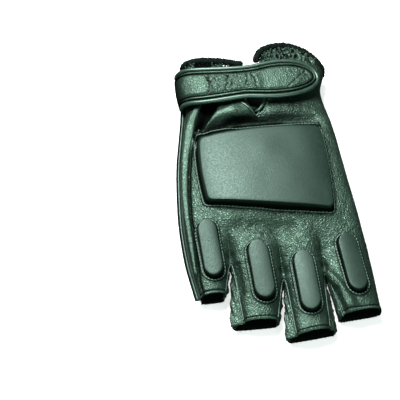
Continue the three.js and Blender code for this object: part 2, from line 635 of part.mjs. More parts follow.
function knucklePad(spec) {
  const outline = knuckleOutline(spec);
  const centre = new THREE.Vector2(spec.x, spec.y);
  const profile = [
    { inset: 0, height: 0.9 },
    { inset: 1.2, height: 0.9 },
    { inset: 1.8, height: 3.8 },
    { inset: 3, height: KNUCKLE_PAD_HEIGHT },
  ];
  const angle = (spec.turn * Math.PI) / 180;
  const topHeight = (p) => {
    const local = p.clone().sub(centre).rotateAround(new THREE.Vector2(), -angle);
    const at = (step) => {
      const along = clamp(local.y + step, -spec.length * 0.4, spec.length * 0.4);
      return backHeight(centre.x - along * Math.sin(angle), centre.y + along * Math.cos(angle));
    };
    const level = (at(-5) + at(0) + at(5)) / 3;
    return level + KNUCKLE_PAD_HEIGHT - 0.022 * local.x ** 2;
  };
  return pad(outline, centre, profile, topHeight);
}

// A point at a height over the plain back, straight out from its surface.
function overBack(theta, y, height) {
  const step = 0.02;
  const p = handPoint(theta, y, true);
  const around = handPoint(theta - step, y, true).sub(handPoint(theta + step, y, true));
  const along = handPoint(theta, y + 0.5, true).sub(handPoint(theta, y - 0.5, true));
  return p.addScaledVector(around.cross(along).normalize(), height);
}
const overBackAt = (x, y, height) => overBack(angleOf(shareAt(x, y), BACK_ROUND), y, height);

// A thin plate over the back, between two edges in X and two in Y.
function patch({ x, y, under, thickness }) {
  const [columns, rows] = [8, 5];
  const points = [];
  const faces = [];
  for (const height of [under, under + thickness]) {
    for (let i = 0; i <= columns; i++) {
      for (let j = 0; j <= rows; j++) {
        points.push(overBackAt(mix(x[0], x[1], i / columns), mix(y[0], y[1], j / rows), height));
      }
    }
  }
  const id = (i, j, top) => top * (columns + 1) * (rows + 1) + i * (rows + 1) + j;
  for (let i = 0; i < columns; i++) {
    for (let j = 0; j < rows; j++) {
      const [a, b, c, d] = [id(i, j, 1), id(i + 1, j, 1), id(i + 1, j + 1, 1), id(i, j + 1, 1)];
      faces.push([a, b, c], [a, c, d]);
      const below = (columns + 1) * (rows + 1);
      faces.push([a - below, c - below, b - below], [a - below, d - below, c - below]);
    }
  }
  const side = (a, b) => {
    const below = (columns + 1) * (rows + 1);
    faces.push([b, a, a - below], [b, a - below, b - below]);
  };
  for (let i = 0; i < columns; i++) {
    side(id(i, 0, 1), id(i + 1, 0, 1));
    side(id(i + 1, rows, 1), id(i, rows, 1));
  }
  for (let j = 0; j < rows; j++) {
    side(id(0, j + 1, 1), id(0, j, 1));
    side(id(columns, j, 1), id(columns, j + 1, 1));
  }
  return turnedOut(points, faces);
}

// The strap's underside along its middle; past its end the line runs on straight.
const strapCurve = new THREE.CatmullRomCurve3(
  STRAP_LINE.map(({ x, y, z }) => new THREE.Vector3(x, y, z)),
  false,
  "centripetal",
);
const STRAP_LENGTH = strapCurve.getLength();

// A point of the strap: along from its root, across from its middle, and up from its underside.
function strapPoint(along, across, up) {
  const share = clamp(along / STRAP_LENGTH, 0, 1);
  const tangent = strapCurve.getTangentAt(share);
  const p = strapCurve.getPointAt(share).addScaledVector(tangent, along - share * STRAP_LENGTH);
  const normal = new THREE.Vector3(-tangent.z, 0, tangent.x).normalize();
  return p.addScaledVector(normal, up).add(new THREE.Vector3(0, across, 0));
}

// Half the strap's width, which its rounded end takes down to nothing.
function strapHalf(along, extra = 0) {
  const straight = STRAP_LENGTH - STRAP.end;
  const past = clamp((along - straight) / (STRAP.end + extra), 0, 1);
  const x = strapCurve.getPointAt(clamp(along, 0, straight) / STRAP_LENGTH).x;
  const row = x < -39 ? STRAP_LINE[0].width : read(STRAP_LINE, "x", x, "width");
  return (row / 2 + extra) * Math.sqrt(1 - past ** 2);
}

function wristStrap() {
  const rows = 4;
  const straight = STRAP_LENGTH - STRAP.end;
  const places = [...Array(15).keys()].map((i) => (straight * i) / 14);
  for (const share of [0.25, 0.45, 0.62, 0.76, 0.87, 0.95, 0.985]) places.push(straight + STRAP.end * share);
  const rings = places.map((along) => {
    const half = strapHalf(along);
    const ring = [];
    for (let j = 0; j <= rows; j++) {
      const across = (2 * j) / rows - 1;
      ring.push(strapPoint(along, across * half, STRAP.thickness + STRAP.crown * (1 - across ** 2)));
    }
    for (let j = rows; j >= 0; j--) ring.push(strapPoint(along, ((2 * j) / rows - 1) * half, 0));
    return ring;
  });
  return loft(rings);
}

// The rolled binding round the strap: along one edge, round the tip and back along the other.
function strapBinding() {
  const up = STRAP.thickness / 2;
  const offset = STRAP.bead + STRAP.beadGap;
  const straight = STRAP_LENGTH - STRAP.end;
  const places = [...Array(13).keys()].map((i) => (straight * i) / 13);
  const path = places.map((along) => strapPoint(along, strapHalf(along, offset), up));
  const half = strapHalf(straight, offset);
  for (let i = 0; i <= 12; i++) {
    const turn = Math.PI * (0.5 - i / 12);
    path.push(strapPoint(straight + (STRAP.end + offset) * Math.cos(turn), half * Math.sin(turn), up));
  }
  path.push(...places.reverse().map((along) => strapPoint(along, -strapHalf(along, offset), up)));
  return bead(path, STRAP.bead, 6, 56);
}

// The rolled binding of the cuff's hem, from one side of the vent round the palm to the other.
function cuffBinding() {
  const radius = 1.5;
  const loop = [
    ...grids.back[0][1].slice().reverse(),
    ...grids.back[0][0].slice(0, -1).reverse(),
    ...palmRow(0).slice(1),
    ...grids.back[0][3].slice(0, -1).reverse(),
    ...grids.back[0][2].slice(0, -1).reverse(),
  ];
  const path = loop.map((id, i) => {
    const p = skin.points[id].clone();
    const [before, after] = [loop[Math.max(0, i - 1)], loop[Math.min(loop.length - 1, i + 1)]];
    const along = skin.points[after].clone().sub(skin.points[before]).normalize();
    const out = along.cross(skinNormals[id]).normalize();
    if (out.y < 0) out.negate();
    const middle = p.addScaledVector(skinNormals[id], -LEATHER / 2);
    return middle.addScaledVector(out, radius + 0.6);
  });
  const smooth = path.map((p, i) => {
    const [before, after] = [path[Math.max(0, i - 1)], path[Math.min(path.length - 1, i + 1)]];
    const soft = before.clone().add(after).multiplyScalar(0.25).addScaledVector(p, 0.5);
    soft.z = Math.max(soft.z, radius + 0.1);
    return soft;
  });
  return bead(smooth.filter((_, i) => i % 2 === 0 || i === smooth.length - 1), radius, 6, 60);
}

// The narrow binding of the vent: down one edge, round the vee and up the other.
function ventBinding() {
  const radius = 0.9;
  const heights = [76, 71, 65, 59, 54, 50.5, 48];
  const edge = (side) => heights.map((y) => {
    const x = ventMiddle(y) + side * (ventWidth(y) / 2 - radius - 0.45);
    return handTop(x, y).addScaledVector(new THREE.Vector3(0, 0, 1), -LEATHER / 2);
  });
  const turnY = VENT.tipY + 2.7;
  const tip = handTop(ventMiddle(turnY), turnY).add(new THREE.Vector3(0, 0, -LEATHER / 2));
  return bead([...edge(-1), tip, ...edge(1).reverse()], radius, 6, 26);
}

// The raised outer seam along the little finger's side: both panels' edges stand out as one thin flange.
function sideSeam() {
  const flange = [[0.75, 1.1], [3, 1.05], [3.4, 0.5], [3.4, -0.5], [3, -1.05], [0.75, -1.1]];
  const rings = [];
  for (let row = 0; row < ROWS; row++) {
    const p = skin.points[grids.back[row][0][0]];
    rings.push(flange.map(([out, up]) => new THREE.Vector3(p.x - out, p.y, p.z + up)));
  }
  return loft(rings);
}

// The thumb stub, a tube with an open end: its first rings stand in the palm's hole.
function thumb() {
  const count = HOLE.length;
  const loop = HOLE.map((id) => skin.points[id]);
  const seat = loop.map((p) => {
    const toMiddle = new THREE.Vector2(holeX - p.x, holeY - p.y).normalize().multiplyScalar(THUMB.inset);
    return new THREE.Vector3(p.x + toMiddle.x, p.y + toMiddle.y, p.z);
  });
  const angles = loop.map((p) => Math.atan2((p.y - holeY) / holeB, (p.x - holeX) / holeA));
  const rings = [
    seat.map((p) => new THREE.Vector3(p.x, p.y, p.z + 1.2)),
    seat.map((p) => new THREE.Vector3(p.x, p.y, p.z - 0.5)),
  ];
  const turns = [
    { tilt: 16, reach: 26.5, half: 16.8 },
    { tilt: 34, reach: 19.2, half: 16.4 },
    { tilt: 56, reach: 13.4, half: 16 },
    { tilt: 78, reach: 11.3, half: 15.8 },
  ];
  const ringAt = (originX, originY, top, tilt, reach, half, round) => angles.map((angle) => {
    const q = (reach * 1.04 * (1 + superSin(angle, round))) / 2;
    const x = originX + half * superCos(angle, round);
    return new THREE.Vector3(x, originY + q * Math.cos(tilt), Math.max(0, top - q * Math.sin(tilt)));
  });
  turns.forEach(({ tilt, reach, half }, i) => {
    const y = THUMB.creaseY - 1.5 * (i + 1);
    rings.push(ringAt(holeX - 0.3 * (i + 1), y, THUMB.top, (tilt * Math.PI) / 180, reach, half, 2.6));
  });
  for (const share of [0.16, 0.36, 0.58, 0.8, 1]) {
    const y = THUMB.creaseY - 6 - (THUMB.length - 6) * share;
    const x = holeX - 1.2 + THUMB.lean * THUMB.length * share;
    const top = mix(THUMB.top, THUMB.hemTop, share);
    rings.push(ringAt(x, y, top, Math.PI / 2, top, mix(15.8, THUMB.width / 2, share), 2.8));
  }
  const points = rings.flat();
  const faces = [];
  for (let r = 0; r + 1 < rings.length; r++) {
    for (let i = 0; i < count; i++) {
      const [a, b] = [r * count + i, r * count + ((i + 1) % count)];
      faces.push([a, b, b + count], [a, b + count, a + count]);
    }
  }
  const flipped = faces.map(([a, b, c]) => [a, c, b]);
  const outward = (set) => normalsOf(points, set)[count * 5 + 1].dot(points[count * 5 + 1].clone().sub(new THREE.Vector3(holeX, 0, 6)));
  const chosen = outward(faces) > 0 ? faces : flipped;
  return thicken(points, chosen, normalsOf(points, chosen), LEATHER, 0);
}

const MATERIALS = {
  leather: { color: 0x1d2b26, roughness: 0.45, metalness: 0 },
  pad_leather: { color: 0x31443c, roughness: 0.5, metalness: 0 },
  binding: { color: 0x2c3c35, roughness: 0.4, metalness: 0 },
  hook_and_loop: { color: 0x0d1210, roughness: 0.95, metalness: 0 },
};

const glove = new THREE.Group();
function add(name, geometry, material) {
  const mesh = new THREE.Mesh(geometry, new THREE.MeshStandardMaterial(MATERIALS[material]));
  mesh.name = name;
  glove.add(mesh);
}

add("back_panel", panel("back_panel"), "leather");
add("palm_panel", panel("palm_panel"), "leather");
WEBS.forEach((web) => add("gusset_" + web.name, panel("gusset_" + web.name), "leather"));
add("thumb_stub", thumb(), "leather");
add("hand_pad", handPad(), "pad_leather");
KNUCKLE_PADS.forEach((spec) => add("knuckle_pad_" + spec.name, knucklePad(spec), "pad_leather"));
add("wrist_strap", wristStrap(), "leather");
add("strap_binding", strapBinding(), "binding");
add("loop_patch", patch(LOOP_PATCH), "hook_and_loop");
add("hook_patch", patch(HOOK_PATCH), "hook_and_loop");
add("cuff_binding", cuffBinding(), "binding");
add("vent_binding", ventBinding(), "binding");
add("side_seam", sideSeam(), "binding");

// The finished glove's origin is under the middle of its outline, on the table.
const box = new THREE.Box3().setFromObject(glove);
const middle = box.getCenter(new THREE.Vector3());
glove.children.forEach((mesh) => mesh.position.set(-middle.x, -middle.y, -box.min.z));

export default glove;
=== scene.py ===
# %% [markdown]
# # A fingerless padded glove
# The glove lies on its palm with its thumb folded under it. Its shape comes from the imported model. Each leather
# piece starts from the shape of its node, is made finer and smoother, and then gets the folds, grooves, stitches
# and grain that the model leaves out.

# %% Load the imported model
import math
import random
from functools import partial, partialmethod

import bpy
import bmesh
import numpy as np
from mathutils import Matrix, Vector, noise
from mathutils.bvhtree import BVHTree
from mathutils.kdtree import KDTree


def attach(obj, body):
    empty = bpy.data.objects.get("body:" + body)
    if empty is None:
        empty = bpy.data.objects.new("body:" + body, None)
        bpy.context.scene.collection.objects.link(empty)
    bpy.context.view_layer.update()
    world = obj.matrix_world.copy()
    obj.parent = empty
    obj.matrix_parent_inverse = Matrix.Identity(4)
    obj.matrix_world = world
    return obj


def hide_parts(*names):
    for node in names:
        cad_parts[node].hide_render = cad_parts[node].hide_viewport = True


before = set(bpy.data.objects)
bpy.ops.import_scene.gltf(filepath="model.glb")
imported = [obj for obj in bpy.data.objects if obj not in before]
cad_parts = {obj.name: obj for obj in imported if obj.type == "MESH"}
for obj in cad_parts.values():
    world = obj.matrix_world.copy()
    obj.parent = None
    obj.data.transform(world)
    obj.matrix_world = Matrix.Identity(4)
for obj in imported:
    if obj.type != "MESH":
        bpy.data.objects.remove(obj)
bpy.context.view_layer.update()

bpy.ops.object.select_all(action="DESELECT")
print(len(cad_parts), "nodes in the model")

# %% [markdown]
# ## Millimetres
# A glove maker thinks in millimetres, and Blender in metres. Sizes below are millimetres in the pattern's own
# frame: +X is the index finger's side, +Y the cuff, +Z the back of the hand. One small shift takes that frame to
# the model's, whose origin is under the middle of the glove.

# %% Points in millimetres
PER_METRE = 1000
PATTERN_SHIFT = np.array((0.8767, -0.9548, 0.0))


def metres(points):
    return (np.asarray(points, float) + PATTERN_SHIFT) / PER_METRE


def millimetres(points):
    """Places as a mesh holds them, in the pattern's frame."""
    return np.asarray(points, float) * PER_METRE - PATTERN_SHIFT


def read(layer, what):
    flat = np.empty(len(layer) * 3)
    layer.foreach_get(what, flat)
    return flat.reshape(-1, 3)


def read_points(piece):
    return millimetres(read(piece.data.vertices, "co"))


def on_table(points):
    """The same points, with none of them below the table."""
    return np.column_stack((points[:, :2], np.maximum(points[:, 2], 0)))


def write_points(piece, points):
    piece.data.vertices.foreach_set("co", metres(on_table(points)).ravel())
    piece.data.update()


def read_normals(piece):
    return read(piece.data.vertex_normals, "vector")


def clamp(t):
    return np.clip(t, 0, 1)


def ease(t):
    """A soft step: 0 below 0, 1 above 1."""
    t = clamp(t)
    return t * t * (3 - 2 * t)


def hump(distance, width):
    """A round bump: 1 in the middle, fading out past its width."""
    return np.exp(-((distance / width) ** 2))


def unit(vector):
    return vector / np.linalg.norm(vector)


def lengths_of(path):
    """How long each stretch of a path is."""
    return np.linalg.norm(np.diff(path, axis=0), axis=1)


# %% [markdown]
# ## The camera, the table and the light
# The photograph looks down at the glove from 62 degrees above the table with a long lens. A soft light behind the
# glove mirrors in the smooth tops of the pads and leaves their front walls dark, which is what makes black
# leather readable. A weak, wide one in front lifts the hems a little.

# %% Camera
def add_object(name, data):
    """A new object in the scene, for a mesh, a curve, a light or a camera."""
    made = bpy.data.objects.new(name, data)
    bpy.context.scene.collection.objects.link(made)
    return made


VIEW_AZIMUTH, VIEW_ELEVATION = math.radians(-8.3), math.radians(62)
EYE = Vector((-0.09836, -0.41886, 0.80617))
FOCAL_LENGTH, SENSOR_WIDTH = 141.75, 36
towards_eye = Vector((
    math.sin(VIEW_AZIMUTH) * math.cos(VIEW_ELEVATION),
    -math.cos(VIEW_AZIMUTH) * math.cos(VIEW_ELEVATION),
    math.sin(VIEW_ELEVATION),
))
to_right = Vector((math.cos(VIEW_AZIMUTH), math.sin(VIEW_AZIMUTH), 0))
upwards = towards_eye.cross(to_right)
camera = add_object("camera", bpy.data.cameras.new("camera"))
camera.data.lens = FOCAL_LENGTH
camera.data.sensor_width = SENSOR_WIDTH
turn = Matrix((to_right, upwards, towards_eye)).transposed().to_4x4()
camera.matrix_world = Matrix.Translation(EYE) @ turn
bpy.context.scene.camera = camera
print("camera at", [round(v, 3) for v in camera.location])

# %% Lights
LIGHT_DISTANCE = 1.2


def softbox(name, direction, width, height, power, colour=(1, 1, 1)):
    """A flat soft light that faces the glove."""
    light = bpy.data.lights.new(name, "AREA")
    light.color = colour
    light.shape, light.size, light.size_y, light.energy = "RECTANGLE", width, height, power
    lamp = add_object(name, light)
    lamp.location = Vector(direction).normalized() * LIGHT_DISTANCE
    lamp.rotation_euler = Vector(direction).to_track_quat("Z", "Y").to_euler()


softbox("key_light", (-0.26, 0.42, 0.87), 0.52, 0.66, 39)
softbox("front_fill", (0.1, -0.95, 0.45), 1.0, 0.4, 8, (0.75, 1.0, 0.88))
world = bpy.context.scene.world or bpy.data.worlds.new("room")
bpy.context.scene.world = world
world.use_nodes = True
room = world.node_tree.nodes["Background"].inputs
room["Color"].default_value = (0.70, 1.0, 0.86, 1)
room["Strength"].default_value = 0.07
bpy.context.scene.view_settings.view_transform = "Standard"
print("two soft lights and a dim room")

# %% [markdown]
# ## Shader maths
# A material is a small graph of nodes. One class wraps a socket and lets Python's own operators add the Math
# nodes, and one method of the material adds any other node.

# %% Values and nodes
class Value:
    """One number of a material, as the socket that gives it."""

    def __init__(self, finish, socket):
        self.finish, self.socket = finish, socket

    def combine(self, operation, other):
        return self.finish.node("ShaderNodeMath", {"operation": operation}, {0: self, 1: other})

    __add__ = __radd__ = partialmethod(combine, "ADD")
    __mul__ = __rmul__ = partialmethod(combine, "MULTIPLY")
    __sub__ = partialmethod(combine, "SUBTRACT")
    least = partialmethod(combine, "MINIMUM")
    most = partialmethod(combine, "MAXIMUM")

    def __rsub__(self, other):
        return self * -1 + other

    def step(self, low, high):
        """0 below low, 1 above high, smooth between them."""
        inputs = {"Value": self, "From Min": low, "From Max": high}
        return self.finish.node("ShaderNodeMapRange", {"interpolation_type": "SMOOTHSTEP"}, inputs)


class Finish:
    """A material whose nodes are added by name."""

    def __init__(self, name):
        self.material = bpy.data.materials.new(name)
        self.material.use_nodes = True
        self.tree = self.material.node_tree
        self.shader = self.tree.nodes["Principled BSDF"]

    def node(self, kind, settings=None, inputs=None, output=0):
        made = self.tree.nodes.new(kind)
        for key, value in (settings or {}).items():
            setattr(made, key, value)
        for key, value in (inputs or {}).items():
            self.feed(made.inputs[key], value)
        return Value(self, made.outputs[output])

    def feed(self, socket, value):
        if isinstance(value, Value):
            self.tree.links.new(value.socket, socket)
        else:
            socket.default_value = value

    def set(self, **values):
        """Feeds the shader's sockets, with _ for the blanks in their names."""
        for key, value in values.items():
            self.feed(self.shader.inputs[key.replace("_", " ")], value)
        return self.material

    def paint_shade_where(self, factor):
        """Blends to a matt near-black where factor is 1: painted shade, for places meant to lie in shade."""
        looks = {"Base Color": tone(0.0006, 0.0016, 0.0011), "Roughness": 0.85, "Specular IOR Level": 0.04}
        paler, painted_black = Value(self, self.shader.outputs[0]), self.node("ShaderNodeBsdfPrincipled", {}, looks)
        blend = self.node("ShaderNodeMixShader", {}, {0: factor, 1: paler, 2: painted_black})
        self.feed(self.tree.nodes["Material Output"].inputs["Surface"], blend)

    def place(self):
        """The surface's own place in millimetres."""
        coordinates = self.node("ShaderNodeTexCoord", output="Object")
        return self.node("ShaderNodeMapping", {}, {"Vector": coordinates, "Scale": [PER_METRE] * 3})

    def noise(self, at, scale, detail=2.0, roughness=0.5):
        inputs = {"Vector": at, "Scale": scale, "Detail": detail, "Roughness": roughness}
        return self.node("ShaderNodeTexNoise", {}, inputs, "Fac")

    def cells(self, at, scale):
        settings = {"feature": "DISTANCE_TO_EDGE"}
        return self.node("ShaderNodeTexVoronoi", settings, {"Vector": at, "Scale": scale}, "Distance")

    def colour(self, factor, dark, light):
        """A colour between two others."""
        return self.node("ShaderNodeMix", {"data_type": "RGBA"}, {0: factor, 6: dark, 7: light}, 2)

    def attribute(self, name):
        return self.node("ShaderNodeAttribute", {"attribute_name": name}, {}, "Fac")

    def bump(self, height, distance, strength=1.0):
        inputs = {"Height": height, "Distance": distance / PER_METRE, "Strength": strength}
        return self.node("ShaderNodeBump", {}, inputs, "Normal")


def tone(red, green, blue):
    return (red, green, blue, 1.0)


# %% [markdown]
# ## The finishes
# The shell is drum-dyed sheep leather: near black with a green cast, a fine pebbled grain and a soft shine.
# The pads are the same hide pressed smooth over foam. Edges are rolled strips of the smooth leather, the inside
# is raw black suede, and the thread is a heavy bonded one.

# %% Grained leather
def grained_leather(name, dark, light, grain=1.0, hems=False):
    """Pebbled hide, evened out and paler where the piece is stretched, partly a painted highlight. hems adds the
    stitched fold beside a hem.
    """
    finish = Finish(name)
    at = finish.place()
    drift = finish.noise(at, 0.035, 3)
    patches = finish.noise(at, 0.16, 4)
    pebbles = finish.cells(at, 0.72)
    cracks = finish.cells(at, 0.33).step(0.0, 0.09)
    grains = finish.noise(at, 0.78, 2, 0.6)
    pores = finish.noise(at, 1.6, 2, 0.6)
    taut_and_highlight = finish.attribute("taut_and_highlight")
    relief = patches * 0.7 + grains * 0.24 + pebbles.step(0.0, 0.3) * 0.12 + cracks * 0.07 + pores * 0.06
    relief = relief * (1 - taut_and_highlight * 0.8) * grain
    # Paler where stretched: the smoother grain of pulled leather, and a painted highlight on fold crests and the
    # roll.
    paler = (drift * 0.6 + patches * 0.4).step(0.35, 0.68).most(taut_and_highlight)
    depth = (pebbles.step(0.0, 0.12) * (cracks * 0.5 + 0.5) * grains.step(0.36, 0.5)).most(taut_and_highlight * 0.9)
    # Painted shade: where the attribute read here is 1 the leather turns matt near-black, in grooves, folds, on
    # pad walls and in shadowed places.
    shade_mix = finish.attribute("painted_shade")
    if hems:
        from_hem = finish.attribute("from_hem")
        # Painted shade: a band 1.2 to 2.4 mm from a hem, along its stitched groove, is blended towards matt
        # near-black.
        stitched = from_hem.step(1.2, 1.6) * (1 - from_hem.step(2.0, 2.4))
        shade_mix = shade_mix.most(stitched * 0.8)
        relief = relief - stitched * 0.6
    body = finish.colour(paler, tone(*dark), tone(*light))
    if hems:
        body = finish.colour(1 - from_hem.step(0.7, 1.2), body, tone(0.022, 0.046, 0.034))
    finish.paint_shade_where(shade_mix)
    return finish.set(
        Base_Color=finish.colour(depth, tone(*[v * 0.2 for v in dark]), body),
        Roughness=0.31 + patches * 0.14 - paler * 0.07 + taut_and_highlight * 0.12 + (1 - depth) * 0.3,
        Normal=finish.bump(relief, 1.0),
        Specular_IOR_Level=1.0,
        Specular_Tint=tone(0.60, 1.0, 0.77),
    )


HIDE_DARK, HIDE_LIGHT = (0.0034, 0.0095, 0.0062), (0.010, 0.023, 0.016)
shell_leather = grained_leather("shell_leather", HIDE_DARK, HIDE_LIGHT)
back_leather = grained_leather("back_leather", HIDE_DARK, HIDE_LIGHT, hems=True)
strap_leather = grained_leather("strap_leather", (0.004, 0.011, 0.007), HIDE_LIGHT, 1.2)


# %% Smooth leather
def smooth_leather(name, dark, light, shine, level, texture):
    """Hide pressed smooth, painted matt near-black where it lies in shade and painted paler along its rims as a
    painted highlight.
    """
    finish = Finish(name)
    at = finish.place()
    drift = finish.noise(at, 0.05, 3)
    pores = finish.noise(at, 1.4, 2, 0.65)
    speckle = finish.noise(at, 0.95, 2, 0.6).step(0.34, 0.66) - 0.5
    cloud = (drift * 0.7 + finish.noise(at, 0.4, 4) * 0.3).step(0.35, 0.65)
    # Painted highlight: the rims are made paler, standing in for the light they catch.
    rim = finish.attribute("rim")
    body = finish.colour(cloud, tone(*dark), tone(*light))
    finish.paint_shade_where(finish.attribute("painted_shade"))
    return finish.set(
        Base_Color=finish.colour(rim * (pores * 1.2).least(1.0), body, tone(*[v * 2.0 for v in light])),
        Roughness=shine + 0.05 + speckle * 0.09 - rim * 0.06,
        Normal=finish.bump(pores, texture, 0.8),
        Specular_IOR_Level=level,
        Specular_Tint=tone(0.70, 1.0, 0.87),
    )


pad_leather = smooth_leather("pad_leather", (0.005, 0.014, 0.009), HIDE_LIGHT, 0.43, 0.54, 0.12)
edge_leather = smooth_leather("edge_leather", (0.009, 0.022, 0.015), (0.024, 0.050, 0.038), 0.34, 1.0, 0.08)
web_leather = smooth_leather("web_leather", (0.004, 0.010, 0.007), (0.010, 0.022, 0.016), 0.36, 0.9, 0.12)

# %% Lining, thread and fastening
def dull(name, dark, light, scale, height):
    """Suede, thread or pile: a nap of a given fineness and height, with no shine."""
    finish = Finish(name)
    at = finish.place()
    nap = finish.noise(at, scale, 4, 0.7)
    return finish.set(
        Base_Color=finish.colour(nap, tone(*dark), tone(*light)),
        Roughness=0.92 + nap * 0.06,
        Normal=finish.bump(nap, height),
        Specular_IOR_Level=0.05,
        Specular_Tint=tone(0.6, 1.0, 0.8),
    )


lining = dull("suede_lining", (0.0006, 0.001, 0.0009), (0.003, 0.005, 0.004), 1.8, 0.3)
raw_edge = dull("raw_edge", (0.001, 0.0015, 0.0013), (0.012, 0.02, 0.016), 0.9, 0.9)
fuzz = dull("hook_and_loop", (0.002, 0.003, 0.003), (0.014, 0.018, 0.016), 3.0, 0.5)
pad_thread = dull("pad_thread", (0.07, 0.12, 0.095), (0.22, 0.32, 0.27), 4.0, 0.1)
pale_thread = dull("knuckle_thread", (0.10, 0.17, 0.135), (0.32, 0.45, 0.39), 4.0, 0.1)
dark_thread = dull("hem_thread", (0.002, 0.004, 0.003), (0.01, 0.02, 0.015), 4.0, 0.1)
print("twelve finishes")

# %% [markdown]
# ## From a node to soft leather
# A node of the model is a faceted shell. Its copy is welded, its triangles are paired back into quads, and a
# Subdivision Surface modifier rounds it, with the cut edges creased so that they stay where they are. Which
# faces are the inside survives the subdivision as their material.

# %% Soft copies
def select_only(piece):
    bpy.ops.object.select_all(action="DESELECT")
    piece.select_set(True)
    bpy.context.view_layer.objects.active = piece


NEVER_SHARP = 200  # degrees, more than any edge turns


def soft_copy(node, name, levels, materials, inside=None, sharp=50):
    """A node's shape, welded, rounded and made finer, with creases where it turns by more than sharp degrees.

    inside tells which faces get the second material. The creased edges are given back with the piece.
    """
    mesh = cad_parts[node].data.copy()
    mesh.materials.clear()
    for material in materials:
        mesh.materials.append(material)
    piece = add_object(name, mesh)
    work = bmesh.new()
    work.from_mesh(mesh)
    bmesh.ops.remove_doubles(work, verts=work.verts, dist=1e-6)
    angles = {"angle_face_threshold": math.radians(40), "angle_shape_threshold": math.pi}
    bmesh.ops.join_triangles(work, faces=work.faces, **angles)
    creases = work.edges.layers.float.new("crease_edge")
    cut = []
    for edge in work.edges:
        edge[creases] = 1.0 if edge.calc_face_angle(0) > math.radians(sharp) else 0.0
        if edge[creases]:
            cut.append([millimetres(end.co) for end in edge.verts])
    for face in work.faces:
        face.smooth = True
        face.material_index = 0
        if inside is not None:
            face.material_index = int(inside(millimetres(face.calc_center_median()), np.array(face.normal)))
    work.to_mesh(mesh)
    work.free()
    select_only(piece)
    rounding = piece.modifiers.new("rounding", "SUBSURF")
    rounding.levels = rounding.render_levels = levels
    bpy.ops.object.modifier_apply(modifier=rounding.name)
    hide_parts(node)
    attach(piece, "root")
    print(name, len(piece.data.polygons), "faces")
    return piece, cut


def finer(piece, chosen=lambda place: True):
    """Splits the faces that show, where they are chosen by their place, and leaves the lining as it is."""
    work = bmesh.new()
    work.from_mesh(piece.data)
    shown = [face for face in work.faces if face.material_index == 0]
    faces = [face for face in shown if chosen(millimetres(face.calc_center_median()))]
    edges = list({edge for face in faces for edge in face.edges})
    bmesh.ops.subdivide_edges(work, edges=edges, cuts=1, use_grid_fill=True)
    work.to_mesh(piece.data)
    work.free()
    print(piece.name, len(piece.data.polygons), "faces once finer")


# %% Which way is out
def outward(piece):
    """Each point's direction out of the glove, the same for both skins of the leather, and 1 where it shows."""
    mesh = piece.data
    shows = np.zeros(len(mesh.vertices))
    for face in mesh.polygons:
        if face.material_index == 0:
            shows[list(face.vertices)] = 1
    return read_normals(piece) * np.where(shows > 0, 1, -1)[:, None], shows


def nearest_sample(points, samples):
    """Which sample is nearest to each point, and how far away it is."""
    tree = KDTree(len(samples))
    for i, sample in enumerate(samples):
        tree.insert(sample, i)
    tree.balance()
    found = [tree.find(p) for p in points]
    return [i for _, i, _ in found], np.array([away for _, _, away in found])


def distance_to(points, samples):
    return nearest_sample(points, samples)[1]


def along_edges(edges, keep=lambda p: True, step=0.4):
    """Places every step along straight edges, as far as keep allows."""
    places = []
    for a, b in edges:
        for t in np.linspace(0, 1, max(2, int(np.linalg.norm(b - a) / step))):
            place = a + (b - a) * t
            if keep(place):
                places.append(place)
    return places


def mark(piece, name, values):
    """Stores one number per point, which a material reads as an attribute."""
    layer = piece.data.attributes.new(name, "FLOAT", "POINT")
    layer.data.foreach_set("value", np.asarray(values, float))


# %% [markdown]
# ## Which faces are the inside
# The lining shows in the cuff and in the finger openings. A face belongs to it when it looks towards the
# middle line of the hand, or of its own finger.

# %% Inside faces
# Each finger's left and right edge at its hem, and where the hem lies at both.
FINGERS = {
    "little": (-46.6, -32.0, -60.2, -60.2),
    "ring": (-32.4, -4.8, -78.7, -79.9),
    "middle": (-3.6, 25.2, -90.5, -89.3),
    "index": (26.6, 51.4, -82.0, -81.2),
}
WEB_LINE = -46.0  # below it a place belongs to a finger
STUB_MIDDLE_HEIGHT = 7
# Each web's place, then the back's corner at the hem on its left and on its right.
WEBS = {
    "little_ring": ((-27, -42.7), (-32, -60.2), (-26, -78.7)),
    "ring_middle": ((0.8, -56), (-5.8, -79.9), (1.4, -90.5)),
    "middle_index": ((24, -55.7), (22, -89.3), (28.6, -82)),
}


def gap_middle(web, y):
    """The middle of the gap between two fingers, at a distance down the hand."""
    (wx, wy), (lx, ly), (rx, ry) = web
    return (np.interp(-y, (-wy, -ly), (wx, lx)) + np.interp(-y, (-wy, -ry), (wx, rx))) / 2


def on_a_hem(place):
    """Whether a place lies on one of the four finger hems."""
    x, y = place[0], place[1]
    spans = [f for f in FINGERS.values() if f[0] - 1.5 < x < f[1] + 1.5]
    return any(abs(y - np.interp(x, f[:2], f[2:])) < 1 for f in spans)


# On the palm the fingers come closer: how far across each gap lies at the nearer of its two hems.
PALM_GAP_ENDS = (-32.6, -4.2, 25.9)


def back_borders(y):
    return [gap_middle(web, min(y, web[0][1])) for web in WEBS.values()]


def palm_borders(y):
    gaps = zip(WEBS.values(), PALM_GAP_ENDS)
    return [np.interp(-y, (-wy, -max(left[1], right[1])), (wx, end)) for ((wx, wy), left, right), end in gaps]


def faces_inwards(centre, normal, borders_at):
    """Whether a face looks towards the middle of the hand or of its finger, or is the cut edge of a hem."""
    x, y, z = centre
    if y < WEB_LINE and z < STUB_MIDDLE_HEIGHT and normal[1] < -0.8 and on_a_hem(centre):
        return True
    if y > WEB_LINE:
        middle = np.array((np.clip(x, -30, 32), y, 14 if y < 40 and x > -10 else 11))
    else:
        borders = [FINGERS["little"][0], *borders_at(y), FINGERS["index"][1]]
        k = int(np.clip(np.searchsorted(borders, x) - 1, 0, 3))
        middle = np.array(((borders[k] + borders[k + 1]) / 2, y, STUB_MIDDLE_HEIGHT))
    return np.dot(centre - middle, normal) < 0


